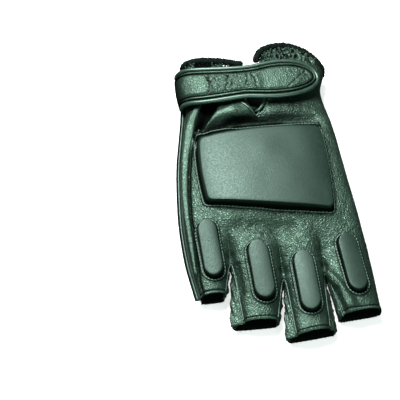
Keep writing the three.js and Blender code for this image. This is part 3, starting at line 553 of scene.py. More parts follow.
# %% Leather pieces
inside = partial(faces_inwards, borders_at=back_borders)
back, back_cuts = soft_copy("back_panel", "back_of_hand", 2, [back_leather, lining], inside)
inside = partial(faces_inwards, borders_at=palm_borders)
palm, _ = soft_copy("palm_panel", "palm_of_hand", 2, [shell_leather, lining], inside)
thumb, _ = soft_copy("thumb_stub", "thumb", 2, [shell_leather, lining])
gussets = {}
for k, name in enumerate(WEBS):

    def faces_the_finger(centre, normal):
        x, y, _ = centre
        return normal[0] * (x - palm_borders(y)[k]) + normal[1] * 2.5 > 0

    looks = [shell_leather, lining]
    gussets[name], _ = soft_copy("gusset_" + name, "finger_gusset_" + name, 3, looks, faces_the_finger)
finer(back)

# %% [markdown]
# ## Folds of the back
# Loose leather folds where it is pulled: a roll beside the outer seam, a sharp crease from the pad's corner up
# under the strap, a valley above the pad, a hollow with fine wrinkles below it. Each fold is a path with a height
# and a width at both ends, and the leather is moved along its own normal by their sum.

# %% Fold paths
# path, height, then the width of the slope and of the flat crest, each at the start and at the end
FOLDS = {
    "fold": (
        [(-33, 39.2), (-28.5, 41.6), (-24.2, 44.7), (-21.0, 47), (-16, 47.9), (-8.5, 48.3), (-3, 49)],
        3.4, (0.9, 3.0), (0.2, 1.6),
    ),
    "pocket": ([(-31.2, 42), (-28.2, 46), (-26.6, 50), (-25.5, 56)], -4.6, (1.8, 3.0), (0.6, 1.6)),
    "valley": ([(-30, 37.4), (-12, 39.8), (8, 39.2), (33, 36.4)], -3.0, (2.2, 3.8), (0.4, 0.8)),
    "pad_lip": ([(-35, 34.6), (-12, 35.2), (12, 34.8), (35, 32.8)], 5.6, (1.2, 1.2), (0.3, 0.3)),
    "right_swell": ([(14, 46), (24, 44), (34, 40)], 1.0, (3.4, 3.4), (1.5, 1.5)),
    "hollow": ([(-19, -25), (-6, -27), (8, -29.5)], -1.9, (4.2, 4.2), (0.3, 0.3)),
    "index_drape": ([(26.5, -57), (30, -65), (34, -77)], 2.4, (1.4, 2.4), (0.3, 1.0)),
    "index_valley": ([(28.6, -67), (29.8, -80)], -1.6, (1.6, 1.8), (0, 0)),
    "ring_valley": ([(-24.5, -46), (-24, -62)], -1.2, (1.8, 1.8), (0, 0)),
    "web_1": ([(-27, -40.5), (-27, -39)], -1.2, (2.2, 2.2), (0, 0)),
    "web_2": ([(0.8, -53.8), (0.8, -52)], -1.2, (2.0, 2.0), (0, 0)),
    "web_3": ([(24, -53.5), (24, -52)], -1.0, (2.0, 2.0), (0, 0)),
}
# the lower edge of the light fold, below which the leather lies in its shadow
SHADE_EDGE = [
    (-34, 38), (-31, 38.8), (-26.3, 41.7), (-22.7, 43), (-17.7, 45.1), (-13, 45.6), (-8.3, 45.3),
    (-3.5, 45.7), (1, 43.5), (8, 42.5), (20, 40.5), (32, 37.5), (38, 36),
]
# how far up the hand, and how far across the dark pocket beside the fold ends there
POCKET_EDGE = [(38, -36), (39.2, -33.1), (40.8, -28.8), (44.7, -24.7), (48.2, -23), (50.6, -20.9), (56, -19)]


def reach(x, y, path):
    """How far each place is from a path, and how far along the path it lies, from 0 to 1."""
    path = np.asarray(path, float)
    lengths = lengths_of(path)
    start = np.concatenate(([0], np.cumsum(lengths))) / lengths.sum()
    best, share = np.full(np.shape(x), 1e9), np.zeros(np.shape(x))
    for (ax, ay), (bx, by), length, s in zip(path, path[1:], lengths, start):
        t = clamp(((x - ax) * (bx - ax) + (y - ay) * (by - ay)) / length**2)
        away = np.hypot(x - ax - t * (bx - ax), y - ay - t * (by - ay))
        share = np.where(away < best, s + t * length / lengths.sum(), share)
        best = np.minimum(best, away)
    return best, share


def fold_height(x, y):
    """How far all folds together lift the leather at each place."""
    total = np.zeros(np.shape(x))
    for path, height, slope, crest in FOLDS.values():
        away, share = reach(x, y, path)
        away = np.maximum(away - (crest[0] + (crest[1] - crest[0]) * share), 0)
        total += height * hump(away, slope[0] + (slope[1] - slope[0]) * share)
    return total


def ripple(points, stretch, seed, octaves=3):
    """Smooth noise from -1 to 1 at each point, with a size in millimetres, the same or one for each axis."""
    scaled = np.asarray(points) / np.asarray(stretch) + seed
    return np.array([noise.fractal(Vector(p), 0.9, 2.1, octaves) for p in scaled])


# %% The roll beside the outer seam
# down the hand: the middle of the roll across and up, and its radius
ROLL_TILT, ROLL_FLATNESS = 0.14, 0.78
ROLL = [
    (-62, -46.6, 13.2, 0.8), (-52, -47.6, 13.9, 1.0), (-36.5, -47.5, 15.2, 1.3), (-13.5, -47.6, 17.9, 1.7),
    (0, -46.9, 18.8, 2.0), (13.5, -45.1, 18.4, 2.1), (26.5, -42.6, 17.9, 2.5), (32.5, -40.7, 17.7, 2.9),
    (39.5, -38.8, 17.8, 3.2), (45.5, -37.0, 18.2, 3.1), (51.5, -34.3, 18.6, 2.8), (58, -30.3, 19.6, 1.8),
]


def roll_at(y):
    """The middle of the roll across and up, and its radius, at a distance down the hand."""
    down, *columns = zip(*ROLL)
    return [np.interp(y, down, column) for column in columns]


def round_out(points, strength):
    """Pushes points out, as seen from inside the hand, on to a flattened tube that lies along the edge."""
    x, y, z = points.T
    cross, up, radius = roll_at(y)
    up = up + 0.25 * radius
    inside_x, inside_z = cross + 1.1 * radius, up - 1.7 * radius
    dx, dz = x - inside_x, z - inside_z
    reached = np.hypot(dx, dz) + 1e-9
    dx, dz = dx / reached, dz / reached
    wanted, cos, sin = np.zeros(len(x)), math.cos(ROLL_TILT), math.sin(ROLL_TILT)
    for far in np.linspace(0, 1, 90):
        far = far * 4.2 * radius
        px, pz = inside_x + dx * far - cross, inside_z + dz * far - up
        along, over = px * cos + pz * sin, pz * cos - px * sin
        within = np.abs(along / radius) ** 3 + np.abs(over / (ROLL_FLATNESS * radius)) ** 3 < 1
        wanted = np.where(within, far, wanted)
    push = np.maximum(wanted - reached, 0) * strength
    return push, points + np.stack((dx, 0 * x, dz), axis=1) * push[:, None]


# %% Shape the back
HEM_FOLD, HEM_GROOVE = 1.0, 1.8
GATHERS_START, GATHERS_HEIGHT = 74, 1.6


def near_roll(place):
    cross, up, _ = roll_at(place[1])
    return math.hypot(place[0] - cross, place[2] - up) < 5


finer(back, near_roll)
points, (out_of, shows) = read_points(back), outward(back)
x, y, z = points.T
on_top = clamp((out_of[:, 2] - 0.1) / 0.4)
rise = fold_height(x, y) * clamp(out_of[:, 2] * 1.6 + 0.3)
rise += 0.38 * ripple(points, 13, 3.1) * on_top
wrinkled = hump(x + 6, 22) * hump(y + 28, 8) + 0.6 * hump(y + 44, 8) + 0.35 * hump(y - 39, 4)
rise += 0.6 * wrinkled * ripple(points, (9, 2.0, 9), 8.4) * on_top
puckers = ease((y - GATHERS_START) / 8) * clamp((z - 7) / 6)
gathers = 0.8 * ripple(points, (2.0, 3.0, 3.0), 1.7) + 1.3 * ripple(points, (1.1, 1.3, 1.3), 5.5)
rise += puckers * GATHERS_HEIGHT * gathers
cross, up, radius = roll_at(y)
beside_roll = hump(x - cross - radius - 0.5, 0.75) * on_top * (y < 44)
rise -= 1.3 * beside_roll
from_hem = distance_to(points, along_edges(back_cuts, on_a_hem))
from_seam = distance_to(points, along_edges(back_cuts))
rise += shows * (0.4 * (1 - ease((from_hem - HEM_FOLD) / 0.6)) - 0.35 * hump(from_hem - HEM_GROOVE, 0.4))
rise -= 0.45 * clamp(1 - from_seam / 0.9) ** 2 * shows * (from_hem > 2)
points = points + out_of * rise[:, None]
push, points = round_out(points, shows)
rolled = clamp(push / 0.6)
points = points + out_of * (0.1 * rolled * ripple(points, (6, 0.8, 6), 9.3, 2) * (y < 30))[:, None]

# %% Widen the vent
VENT_X, VENT_TIP = 0.9, 43.6


def widen_vent(points, amount=2.8):
    """Opens the notch in the middle of the cuff's edge, most at the strap."""
    x, y, z = points.T
    open_by = amount * clamp((y - VENT_TIP) / 7) * (1 - ease((y - 58) / 14))
    aside = np.sign(x - VENT_X) * open_by * (1 - ease((np.abs(x - VENT_X) - 5) / 12))
    return points + aside[:, None] * (1, 0, 0)


points = widen_vent(points)
write_points(back, points)
print("back shaped, moved by", round(float(rise.min()), 2), "to", round(float(rise.max()), 2), "mm")
print(len(back.data.polygons), "faces,", int((push > 0.1).sum()), "points rounded out")

# %% Painted shade and highlight on the back
# Here x and y are still those from before the folds and the vent moved the points.
in_pocket, _ = reach(x, y, FOLDS["pocket"][0])
in_hollow, _ = reach(x, y, FOLDS["hollow"][0])
# Painted shade: matt near-black beside the roll, in the pocket, below and left of the light fold, in the hollow,
# between the cuff's puckers and right of the vent.
back_shade = clamp(beside_roll * 1.2) * (1 - rolled) + hump(in_pocket, 2.6) * (1 - rolled)
below_fold = clamp((np.interp(x, *zip(*SHADE_EDGE)) - y) / 1.6)
in_shade = below_fold * clamp((y - 33) / 1.5) * on_top * clamp(x + 36.5)
left_of_fold = clamp((np.interp(y, *zip(*POCKET_EDGE)) - x) / 0.8) * clamp(y - 37.5)
back_shade += left_of_fold * clamp(1 - 2 * rolled) * on_top * (x > cross)
back_shade += in_shade * (0.82 - 0.5 * ease((x - 8) / 22) + 0.15 * ripple(points, (4, 1.5, 4), 5.1))
back_shade += 0.3 * hump(in_hollow, 4.5) * (1 + 1.5 * ripple(points, (6, 1.4, 6), 2.9))
back_shade = (back_shade + puckers * clamp(-2.6 * gathers + 0.1)) * shows
back_shade += 0.42 * ease((x - 6) / 4) * (1 - ease((x - 24) / 10)) * ease((y - 40) / 3) * on_top * (y < 60)
crest, along = reach(x, y, FOLDS["fold"][0])
# Paler and smoother where stretched, on the roll, the fold's crest and near the hems; on the crest and the roll
# this is also a painted highlight.
taut_and_highlight = 0.45 * rolled * (y > -50) + 0.65 * hump(crest, 1 + 2.2 * along) + 0.3 * hump(from_hem - 4, 4) * shows
mark(back, "taut_and_highlight", clamp(taut_and_highlight))
mark(back, "from_hem", np.where(shows > 0, np.clip(from_hem, 0, 12), 12))

# %% [markdown]
# ## Gussets and palm
# A gusset is a strip let in between two fingers. Its leather is longer than its seams, so it puffs out and
# crinkles across. The palm is plain, with soft creases where the hand closes.

# %% Shape the gussets and the palm
# how far each gusset's left and right wall bulge into the gap at the hem
WINGS = {"little_ring": (0.8, 3.8), "ring_middle": (0.6, 3.2), "middle_index": (2.2, 0.6)}
PALM_CREASE = [(-30, -30), (-8, -34), (18, -26), (34, -14)]
THUMB_CREASE = [(30, -8), (14, 8), (6, 30), (4, 50)]
for name, gusset in gussets.items():
    points, (out_of, shows) = read_points(gusset), outward(gusset)
    (_, web_y), (_, left_y), (_, right_y) = WEBS[name]
    x, y, z = points.T
    on_left = x < gap_middle(WEBS[name], y)
    down = clamp((web_y - y) / (web_y - np.where(on_left, left_y, right_y)))
    share = clamp((z - 5) / (6 - 1.7 * down))
    puff = 4 * share * (1 - share)
    points[:, 0] += puff * down * np.where(on_left, WINGS[name][0], -WINGS[name][1])
    pleats = np.sin((points[:, 0] + 0.12 * points[:, 1]) * 2.1 + 2 * ripple(points, (8, 9, 8), 4.4, 1))
    rise = puff * (0.5 + 0.7 * ripple(points, (2.5, 1.8, 2.5), 2.2) + 0.45 * pleats) * shows
    rise *= 1 - ease((down - 0.86) / 0.1)
    write_points(gusset, points + out_of * rise[:, None])
points, (out_of, shows) = read_points(palm), outward(palm)
x, y, z = points.T
lower = clamp(z / 1.5) * (1 - ease((z - 14) / 4))
across_palm, _ = reach(x, y, PALM_CREASE)
round_thumb, _ = reach(x, y, THUMB_CREASE)
rise = 0.45 * ripple(points, 9, 7.7) - 0.9 * hump(across_palm, 1.6) - 0.8 * hump(round_thumb, 1.8)
write_points(palm, points + out_of * (lower * rise * shows)[:, None])
print("gussets and palm shaped")


# %% Close the seams
def surface_of(pieces):
    """The faces of some pieces as one tree, which finds the nearest or the topmost place on them."""
    places, faces = [], []
    for piece in pieces:
        faces += [[i + len(places) for i in face.vertices] for face in piece.data.polygons]
        places += [tuple(p) for p in read_points(piece)]
    return BVHTree.FromPolygons(places, faces)


def sew(piece, others, near=0.8, left_open=0.06):
    """Draws a piece's edges up to its neighbours, so that no light comes through the seam between them."""
    surface, points, moved = surface_of(others), read_points(piece), 0
    for i, place in enumerate(points):
        nearest, _, _, away = surface.find_nearest(Vector(place), near)
        if nearest is not None and away > left_open:
            points[i] += (np.array(nearest) - place) * (1 - left_open / away)
            moved += 1
    write_points(piece, points)
    print(piece.name, "sewn at", moved, "points")


for gusset in gussets.values():
    sew(gusset, (back, palm))
sew(thumb, (palm,))
sew(palm, (back, thumb), 0.5)

# %% [markdown]
# ## Small helpers that lie on the leather
# Pads, stitches and welts are placed on the shaped leather itself: a ray from above finds its height, and where
# a ray would miss, past an edge, the nearest point of the surface stands in.

# %% Lying on a surface
HIGH_ABOVE, HALFWAY_UP = 90, 12


class Ground:
    """The outer surface of some pieces, asked for its height from above."""

    def __init__(self, *pieces):
        self.surface = surface_of(pieces)

    def at(self, x, y):
        place, normal, _, _ = self.surface.ray_cast(Vector((x, y, HIGH_ABOVE)), Vector((0, 0, -1)))
        if place is None:
            place, normal, _, _ = self.surface.find_nearest(Vector((x, y, HALFWAY_UP)))
        return np.array(place), np.array(normal)

    def height(self, loop):
        return np.array([self.at(px, py)[0][2] for px, py in loop])


def piece_from(name, points, faces, material, slot="binding"):
    """A mesh piece from points in millimetres, welded, facing out and riding on the glove."""
    mesh = bpy.data.meshes.new(name)
    mesh.from_pydata([tuple(p) for p in metres(on_table(np.asarray(points)))], [], faces)
    mesh.materials.append(material)
    piece = add_object(name, mesh)
    select_only(piece)
    bpy.ops.object.mode_set(mode="EDIT")
    bpy.ops.mesh.select_all(action="SELECT")
    bpy.ops.mesh.remove_doubles(threshold=1e-6)
    bpy.ops.mesh.normals_make_consistent(inside=False)
    bpy.ops.object.mode_set(mode="OBJECT")
    bpy.ops.object.shade_smooth()
    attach(piece, "root")
    return piece


def loft(name, rings, *looks):
    """Closed rings of equal length, joined one to the next and closed to a point at both ends."""
    count = len(rings[0])
    points = [rings[0].mean(axis=0), *np.concatenate(rings), rings[-1].mean(axis=0)]
    faces = []
    for i in range(count):
        j = (i + 1) % count
        faces.append((0, 1 + j, 1 + i))
        for r in range(len(rings) - 1):
            a, b = 1 + r * count + i, 1 + r * count + j
            faces.append((a, b, b + count, a + count))
        last = 1 + (len(rings) - 1) * count
        faces.append((last + i, last + j, len(points) - 1))
    return piece_from(name, points, faces, *looks)


def spaced(loop, count, closed=True):
    """The same line with count points at equal distances."""
    loop = np.asarray(loop, float)
    if closed:
        loop = np.vstack((loop, loop[:1]))
    lengths = np.concatenate(([0], np.cumsum(lengths_of(loop))))
    at = np.linspace(0, lengths[-1], count, endpoint=not closed)
    return np.stack([np.interp(at, lengths, column) for column in loop.T], axis=1)


def drawn_in(loop, amount):
    """A closed line that runs counter-clockwise, moved inwards by an amount."""
    along = np.roll(loop, -1, axis=0) - np.roll(loop, 1, axis=0)
    along /= np.linalg.norm(along, axis=1)[:, None]
    return loop + np.stack((-along[:, 1], along[:, 0]), axis=1) * amount


# %% [markdown]
# ## The raised pads
# Each pad is a foam block pressed into a smooth leather cover whose thin edge is stitched down. The cover has a
# raised rim, a narrow stitched groove, a steep wall and a softly crowned top. These are one profile here, which
# is carried round the pad's outline. The crown is fitted to the model's pad.

# %% Pad outlines
HAND_PAD_POINTS, KNUCKLE_POINTS = 240, 120


def rounded_quad(corners, radius, bow):
    """Four corners in counter-clockwise order, rounded, with slightly bowed sides."""
    corners = [np.array(c, float) for c in corners]
    line = []
    for k, here in enumerate(corners):
        before, after = corners[k - 1], corners[(k + 1) % 4]
        come, go = unit(here - before), unit(after - here)
        start, end = here - come * radius, here + go * radius
        for t in np.linspace(0, 1, 12):
            line.append(start * (1 - t) ** 2 + here * 2 * t * (1 - t) + end * t * t)
        far, side = after - go * radius, np.array((go[1], -go[0]))
        for t in np.linspace(0, 1, 40)[1:-1]:
            line.append(end + (far - end) * t + side * 4 * bow * t * (1 - t))
    return spaced(line, HAND_PAD_POINTS)


def stadium(x, y, width, length, turn):
    """A long pad with two half-round ends."""
    straight, angle = (length - width) / 2, math.radians(turn)
    arc = np.linspace(0, math.pi, 24)
    half = np.stack((np.cos(arc), np.sin(arc)), axis=1) * width / 2
    line = np.concatenate((half + (0, straight), -half - (0, straight)))
    turned = line @ np.array(((math.cos(angle), math.sin(angle)), (-math.sin(angle), math.cos(angle))))
    return spaced(turned + (x, y), KNUCKLE_POINTS)


HAND_PAD_LINE = rounded_quad([(-37.9, -9.6), (35.4, -25.2), (37.2, 32.4), (-37.4, 34.6)], 4, 1.0)
# the middle across and down, width, length, and by how many degrees it is turned
KNUCKLES = {
    "little": (-37.6, -35.2, 13.8, 36.0, 1.5),
    "ring": (-11.7, -52.5, 14.5, 36.6, 1.5),
    "middle": (12.2, -62.3, 14.3, 37.8, 0.8),
    "index": (39.3, -54.6, 13.6, 37.2, 5),
}
KNUCKLE_LINES = {name: stadium(*size) for name, size in KNUCKLES.items()}

# %% Pad profiles
# inset from the outline, then the height over the leather
RIM = [
    (0.0, 0.05), (-0.1, 0.35), (0.02, 0.7), (0.2, 0.85), (0.6, 0.9), (0.78, 0.75), (0.86, 0.4), (0.95, 0.15),
]
WALL_INSET, CROWN_INSET = 1.05, 3.2
# how far across the slope, then how much of the wall's height is still above
WALL = [
    (0.0, 0.97), (0.1, 0.82), (0.32, 0.54), (0.56, 0.26), (0.76, 0.09), (0.9, 0.025), (1.02, 0.006), (1.25, 0),
]


def crown_of(node, loop, bulge):
    """The smooth top of a pad in the model, as a function of place, with its bulge times a factor."""
    ground = Ground(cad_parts[node])
    top, middle = drawn_in(loop, CROWN_INSET), loop.mean(axis=0)
    at = np.concatenate([middle + (top - middle) * share for share in (0.15, 0.35, 0.55, 0.75, 0.9)])
    scale = np.abs(loop - middle).max(axis=0)

    def terms(places, count):
        u, v = ((places - middle) / scale).T
        return np.stack((u * 0 + 1, u, v, u * u, u * v, v * v, u**4), axis=1)[:, :count]

    height = ground.height(at)
    flat, full = (np.linalg.lstsq(terms(at, count), height, rcond=None)[0] for count in (3, 7))
    return lambda places: terms(places, 3) @ flat * (1 - bulge) + terms(places, 7) @ full * bulge


def narrowed(loop, left, right, front, behind):
    """A closed line squeezed from its four sides by four amounts."""
    low, high = loop.min(axis=0), loop.max(axis=0)
    squeeze = (loop - low) / (high - low)
    return loop + (1 - squeeze) * (left, front) - squeeze * (right, behind)


def raised_pad(name, node, loop, slopes, ground, bulge, sag, lean=0.0):
    """Carries the profile round the outline and closes it over the crown.

    slopes: how wide the wall is on the left, on the right, in front and behind.
    """
    fitted, middle = crown_of(node, loop, bulge), loop.mean(axis=0)

    def crown(places):
        return fitted(places) - lean * (places[:, 0] - middle[0])

    rings, marks = [], []

    # Each ring carries two marks: painted shade, matt near-black, inside the rim and on the wall, and a painted
    # highlight on the rim's top.
    def ring(flat, heights, painted_shade=0.0, rim=0.0):
        rings.append(np.column_stack((flat, heights)))
        marks.extend([(painted_shade, rim)] * len(flat))

    lay = ground.height(loop)
    for share in (0.3, 0.6, 0.85):
        flat = middle + (loop - middle) * share
        ring(flat, ground.height(flat) + 0.3)
    for inset, height in RIM:
        flat = drawn_in(loop, inset)
        ring(flat, lay + height, float(inset > 0.8), float(height > 0.6))
    foot = lay + RIM[-1][1]
    for across, left_over in WALL:
        flat = narrowed(loop, *(WALL_INSET + slope * across for slope in slopes))
        ring(flat, crown(flat) * (1 - left_over) + foot * left_over, min(1.0, 2.5 * left_over))
    top = flat
    for share in np.linspace(1, 0, 14)[1:-1]:
        flat = middle + (top - middle) * share
        dents = [sag * noise.noise(Vector((px / 17, py / 17, 2.5))) * (1 - share**4) for px, py in flat]
        ring(flat, crown(flat) + dents)
    pad = loft(name, rings, pad_leather, "pad_leather")
    nearest, _ = nearest_sample(read_points(pad), np.concatenate(rings))
    mark(pad, "painted_shade", [marks[i][0] for i in nearest])
    mark(pad, "rim", [marks[i][1] for i in nearest])
    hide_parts(node)
    print(name, len(pad.data.polygons), "faces")
    return pad


# %% Pads
ground = Ground(back)
hand_pad = raised_pad("padded_hand", "hand_pad", HAND_PAD_LINE, (2.0, 0.6, 1.0, 2.9), ground, 1.2, 0.4)
KNUCKLE_SLOPES = (0.9, 1.0, 0.6, 1.0)
KNUCKLE_LEAN = {"little": -0.05, "ring": -0.09, "middle": -0.1, "index": 0.1}
knuckle_pads = []
for key, line in KNUCKLE_LINES.items():
    names = "padded_knuckle_" + key, "knuckle_pad_" + key
    knuckle_pads.append(raised_pad(*names, line, KNUCKLE_SLOPES, ground, 0.8, 0.2, KNUCKLE_LEAN[key]))

# %% Painted shade beside the pads on the back
# The leather beside a pad's rim lies in the rim's shadow, so it is painted black and dull there as painted shade.
outlines = np.concatenate([HAND_PAD_LINE, *KNUCKLE_LINES.values()])
outlines = np.column_stack((outlines, 0 * outlines[:, 0]))
beside_pad = distance_to(read_points(back) * (1, 1, 0), outlines)
line_shade = clamp(1.3 - beside_pad / 0.7) * (read_points(back)[:, 2] > 10)
mark(back, "painted_shade", clamp(back_shade + line_shade))

# %% [markdown]
# ## Strap and edges
# The strap is two layers of leather with a rolled strip round its edge. Beside the strip runs a turned ridge,
# then the stitches, then the panel, which puffs a little and is creased across where it bends.

# %% Strap
STRAP_RIDGE, STRAP_GROOVE = 0.95, 1.75
# how far across each crack of the strap lies, and how deep it is
CRACKS = ((-24.4, 0.8), (-22.4, 0.6), (-17.5, 0.3), (-13.2, 0.9), (-11.2, 0.4), (-1.0, 0.3), (3.5, 0.7))
strap, strap_cuts = soft_copy("wrist_strap", "closing_strap", 4, [strap_leather])
points, normals = read_points(strap), read_normals(strap)
from_edge = distance_to(points, along_edges(strap_cuts))
x, y, z = points.T
over = clamp(normals[:, 2] * 1.5 + 0.3 * (x < -36)) * (from_edge > 0.05)
panel = ease((from_edge - 2.2) / 1.6)
ridge = hump(from_edge - STRAP_RIDGE, 0.4)
rise = 0.65 * ridge - 0.9 * hump(from_edge - STRAP_GROOVE, 0.36) - 0.4 * hump(from_edge, 0.35) + 0.6 * panel
creased = clamp(hump(x + 17, 8) + 0.9 * hump(x + 2, 6) + 0.9 * hump(x - 33, 8))
rise += panel * creased * (0.35 * ripple(points, (4, 6, 5), 1.3) + 0.3 * ripple(points, (1.5, 2.2, 1.6), 4.1))
rise += panel * 0.35 * ripple(points, 12, 2.3)
crack_shade_mask = clamp(0.9 + 1.4 * ripple(points, 1.3, 7.7))
cracks = np.zeros(len(points))
for across, depth in CRACKS:
    bend = across + 0.8 * np.sin(y * 0.3 + across) + 1.5 * ripple(points, (40, 3.2, 40), across)
    rise -= depth * panel * (0.6 * hump(x - bend, 0.5) - 0.25 * hump(x - bend - 1.8, 1.2))
    cracks += depth * hump(x - bend, 0.5) * crack_shade_mask
diagonal, _ = reach(x, y, [(22, 57), (34, 67)])
rise -= 0.5 * panel * hump(diagonal, 0.6)
write_points(strap, points + normals * (rise * over)[:, None])
# Painted shade: matt near-black in the groove beside the ridge, along the edge, in the cracks and over the left
# end where the strap bends down the side.
line_shade = 1.8 * hump(from_edge - STRAP_GROOVE, 0.4) + 1.4 * hump(from_edge - 0.1, 0.38) + 1.1 * panel * cracks
mark(strap, "painted_shade", clamp(line_shade + 0.8 * (1 - ease((x + 42) / 6))))
# Paler and smoother away from the creases and on the ridge, partly a painted highlight.
mark(strap, "taut_and_highlight", clamp(np.maximum(0.6 - creased, ridge)))

# %% Rolled edges and fastening
def rolled_edge(node, name, levels, material, amount, unevenness=0.0):
    """A binding's node made round and fuller, and a little uneven."""
    edge, _ = soft_copy(node, name, levels, [material], sharp=NEVER_SHARP)
    points, normals = read_points(edge), read_normals(edge)
    fuller = amount + unevenness * ripple(points, 1.4, 6.2)
    write_points(edge, points + normals * fuller[:, None])
    return edge


rolled_edge("strap_binding", "strap_edge", 2, edge_leather, 0.22)
cuff_edge = rolled_edge("cuff_binding", "cuff_edge", 3, raw_edge, 0.75, 0.35)
vent_edge = rolled_edge("vent_binding", "vent_edge", 2, edge_leather, 0.15)
write_points(vent_edge, widen_vent(read_points(vent_edge), 0.8))
for node in ("loop_patch", "hook_patch"):
    soft_copy(node, "fastening_" + node, 1, [fuzz])

# %% [markdown]
# ## The outer seam
# Down the little finger's side the back and the palm are sewn with their edges turned out, so a thin flange
# stands along the glove. Its path comes from the model's seam, and one section with a stitched groove and a
# rolled outer edge is carried along it.

# %% Outer seam
SEAM_OVERLAP, SEAM_STEPS = 0.75, 160
seam_points = read_points(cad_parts["side_seam"])
levels = {}
for px, py, pz in seam_points:
    levels.setdefault(round(py, 1), []).append((px, py, pz))
middles = [(max(p[0] for p in ring) + SEAM_OVERLAP, ring[0][1], np.mean([p[2] for p in ring]))
           for _, ring in sorted(levels.items()) if len(ring) > 3]
seam_line = spaced(middles, SEAM_STEPS, closed=False)
SEAM_SECTION = [
    (-0.5, 0.2), (0.2, -0.1), (0.8, -0.3), (1.15, 0.1), (1.4, 0.55), (1.75, 0.65), (2.05, 0.4), (2.3, -0.2),
    (2.9, -0.5), (3.2, -0.75), (3.0, -1.0), (1.6, -1.0), (0.3, -0.95), (-0.5, -0.95),
]
rings = [np.array([(px - out, py, pz + up) for out, up in SEAM_SECTION]) for px, py, pz in seam_line]
outer_seam = loft("outer_seam", rings, edge_leather)
ridge = np.concatenate([ring[3:7] for ring in rings])
off_ridge = distance_to(read_points(outer_seam), ridge)
# Painted shade: the seam turns matt near-black away from its ridge, leaving one lit line.
mark(outer_seam, "painted_shade", np.clip(off_ridge / 0.3 - 0.2, 0, 0.9))
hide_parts("side_seam")
print("outer seam", round(float(lengths_of(seam_line).sum())), "mm long")

# %% [markdown]
# ## Welts between the fingers
# The gussets are sewn in with their edges inside, which pushes the back's edge up into a thin raised line on
# both sides of each web. A poly curve with a round bevel, turned into a mesh, is enough for such a line.

# %% Round cords of leather
def welt(name, path, radius, material):
    """A thin round strip along a path in millimetres."""
    curve = bpy.data.curves.new(name, "CURVE")
    curve.dimensions = "3D"
    curve.bevel_depth = radius / PER_METRE
    curve.bevel_resolution = 3
    curve.use_fill_caps = True
    line = curve.splines.new("POLY")
    line.points.add(len(path) - 1)
    line.points.foreach_set("co", np.column_stack((metres(path), np.ones(len(path)))).ravel())
    select_only(add_object(name, curve))
    bpy.ops.object.convert(target="MESH")
    strip = bpy.context.object
    strip.name = name
    strip.data.materials.append(material)
    bpy.ops.object.shade_smooth()
    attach(strip, "root")
    return strip


WEB_HEIGHT, HEM_DROP = 11.6, 1.5
shares_down = np.linspace(0.01, 1, 24)
for key, (web, left, right) in WEBS.items():
    line = []
    for (ex, ey), side, shares in ((left, -1, shares_down[::-1]), (right, 1, shares_down)):
        for t in shares:
            px = web[0] + (ex - web[0]) * t + side * 0.9 * math.sqrt(min(1, t / 0.12))
            line.append((px, web[1] + (ey - web[1]) * t, WEB_HEIGHT - HEM_DROP * t))
    welt("web_welt_" + key, spaced(line, 70, closed=False), 0.5, web_leather)
vent_line = spaced([(-6.3, 51.8), (-5.7, 51), (0.9, 43.8), (8.4, 51.2), (8.9, 51.9)], 40, closed=False)
heights = Ground(back).height(vent_line + np.sign(vent_line[:, :1] - VENT_X) * (0.7, 0))
vent_welt = welt("vent_welt", np.column_stack((vent_line, heights + 0.25)), 0.48, edge_leather)
# A painted highlight: the vent's welt and edge are made paler all along, as if lit.
for edge in (vent_welt, vent_edge):
    mark(edge, "rim", np.ones(len(edge.data.vertices)))
print("four welts")

# %% [markdown]
# ## Stitches
# One stitch is a squashed ball, modelled once and copied along each seam at the machine's pitch. All the
# stitches of a seam become one mesh, and each lies half sunk in the leather under it.

# %% One stitch
bpy.ops.mesh.primitive_uv_sphere_add(segments=8, ring_count=5, radius=0.5)
one_stitch = bpy.context.object
stitch_points = np.array([v.co for v in one_stitch.data.vertices])
stitch_faces = [tuple(f.vertices) for f in one_stitch.data.polygons]
bpy.data.objects.remove(one_stitch)
STITCH_LIFT, STITCH_INSET = 0.05, 0.4


def stitches(name, path, ground, material, pitch, length, width, closed=True):
    """A row of stitches along a path, each turned along it and set on the ground below."""
    path = np.asarray(path, float)
    spots = spaced(path, round(lengths_of(path).sum() / pitch), closed)
    laid = [ground.at(px, py) for px, py in spots[:, :2]]
    places = np.array([place for place, _ in laid])
    runs = np.roll(places, -1, axis=0) - np.roll(places, 1, axis=0) if closed else np.gradient(places, axis=0)
    points, faces = [], []
    for place, (_, up), run in zip(places, laid, runs):
        run = unit(run)
        side = unit(np.cross(up, run))
        axes = np.array((run * length, side * width, np.cross(run, side) * width))
        faces += [[i + len(points) for i in f] for f in stitch_faces]
        points += list(stitch_points @ axes + place + up * STITCH_LIFT)
    piece_from(name, points, faces, material)
    print(name, len(places), "stitches")


# %% Stitch rows
ground = Ground(back, hand_pad, *knuckle_pads)
stitches("stitches_hand_pad", drawn_in(HAND_PAD_LINE, STITCH_INSET), ground, pad_thread, 2.1, 1.8, 0.45)
for key, line in KNUCKLE_LINES.items():
    stitches("stitches_knuckle_" + key, drawn_in(line, STITCH_INSET), ground, pale_thread, 1.8, 1.1, 0.55)
# the back's corners at the hems, two for each finger
corners = [FINGERS["little"][::2]]
for _, left, right in WEBS.values():
    corners += [left, right]
corners.append(FINGERS["index"][1::2])
for key, (x0, y0), (x1, y1) in zip(FINGERS, corners[::2], corners[1::2]):
    row = [(px, np.interp(px, (x0, x1), (y0, y1)) + HEM_GROOVE) for px in np.linspace(x0 + 0.8, x1 - 0.8, 40)]
    stitches("stitches_hem_" + key, row, ground, dark_thread, 2.0, 1.4, 0.6, closed=False)

# %% [markdown]
# ## Raw edges
# The cuff and the palm's side of the finger holes are cut, not hemmed, and the suede there frays. Each fibre is
# a thin cone of four faces, placed by a seeded random choice, and all fibres of an edge are one mesh.

# %% Frayed fibres
FIBRE_RADIUS = 0.13


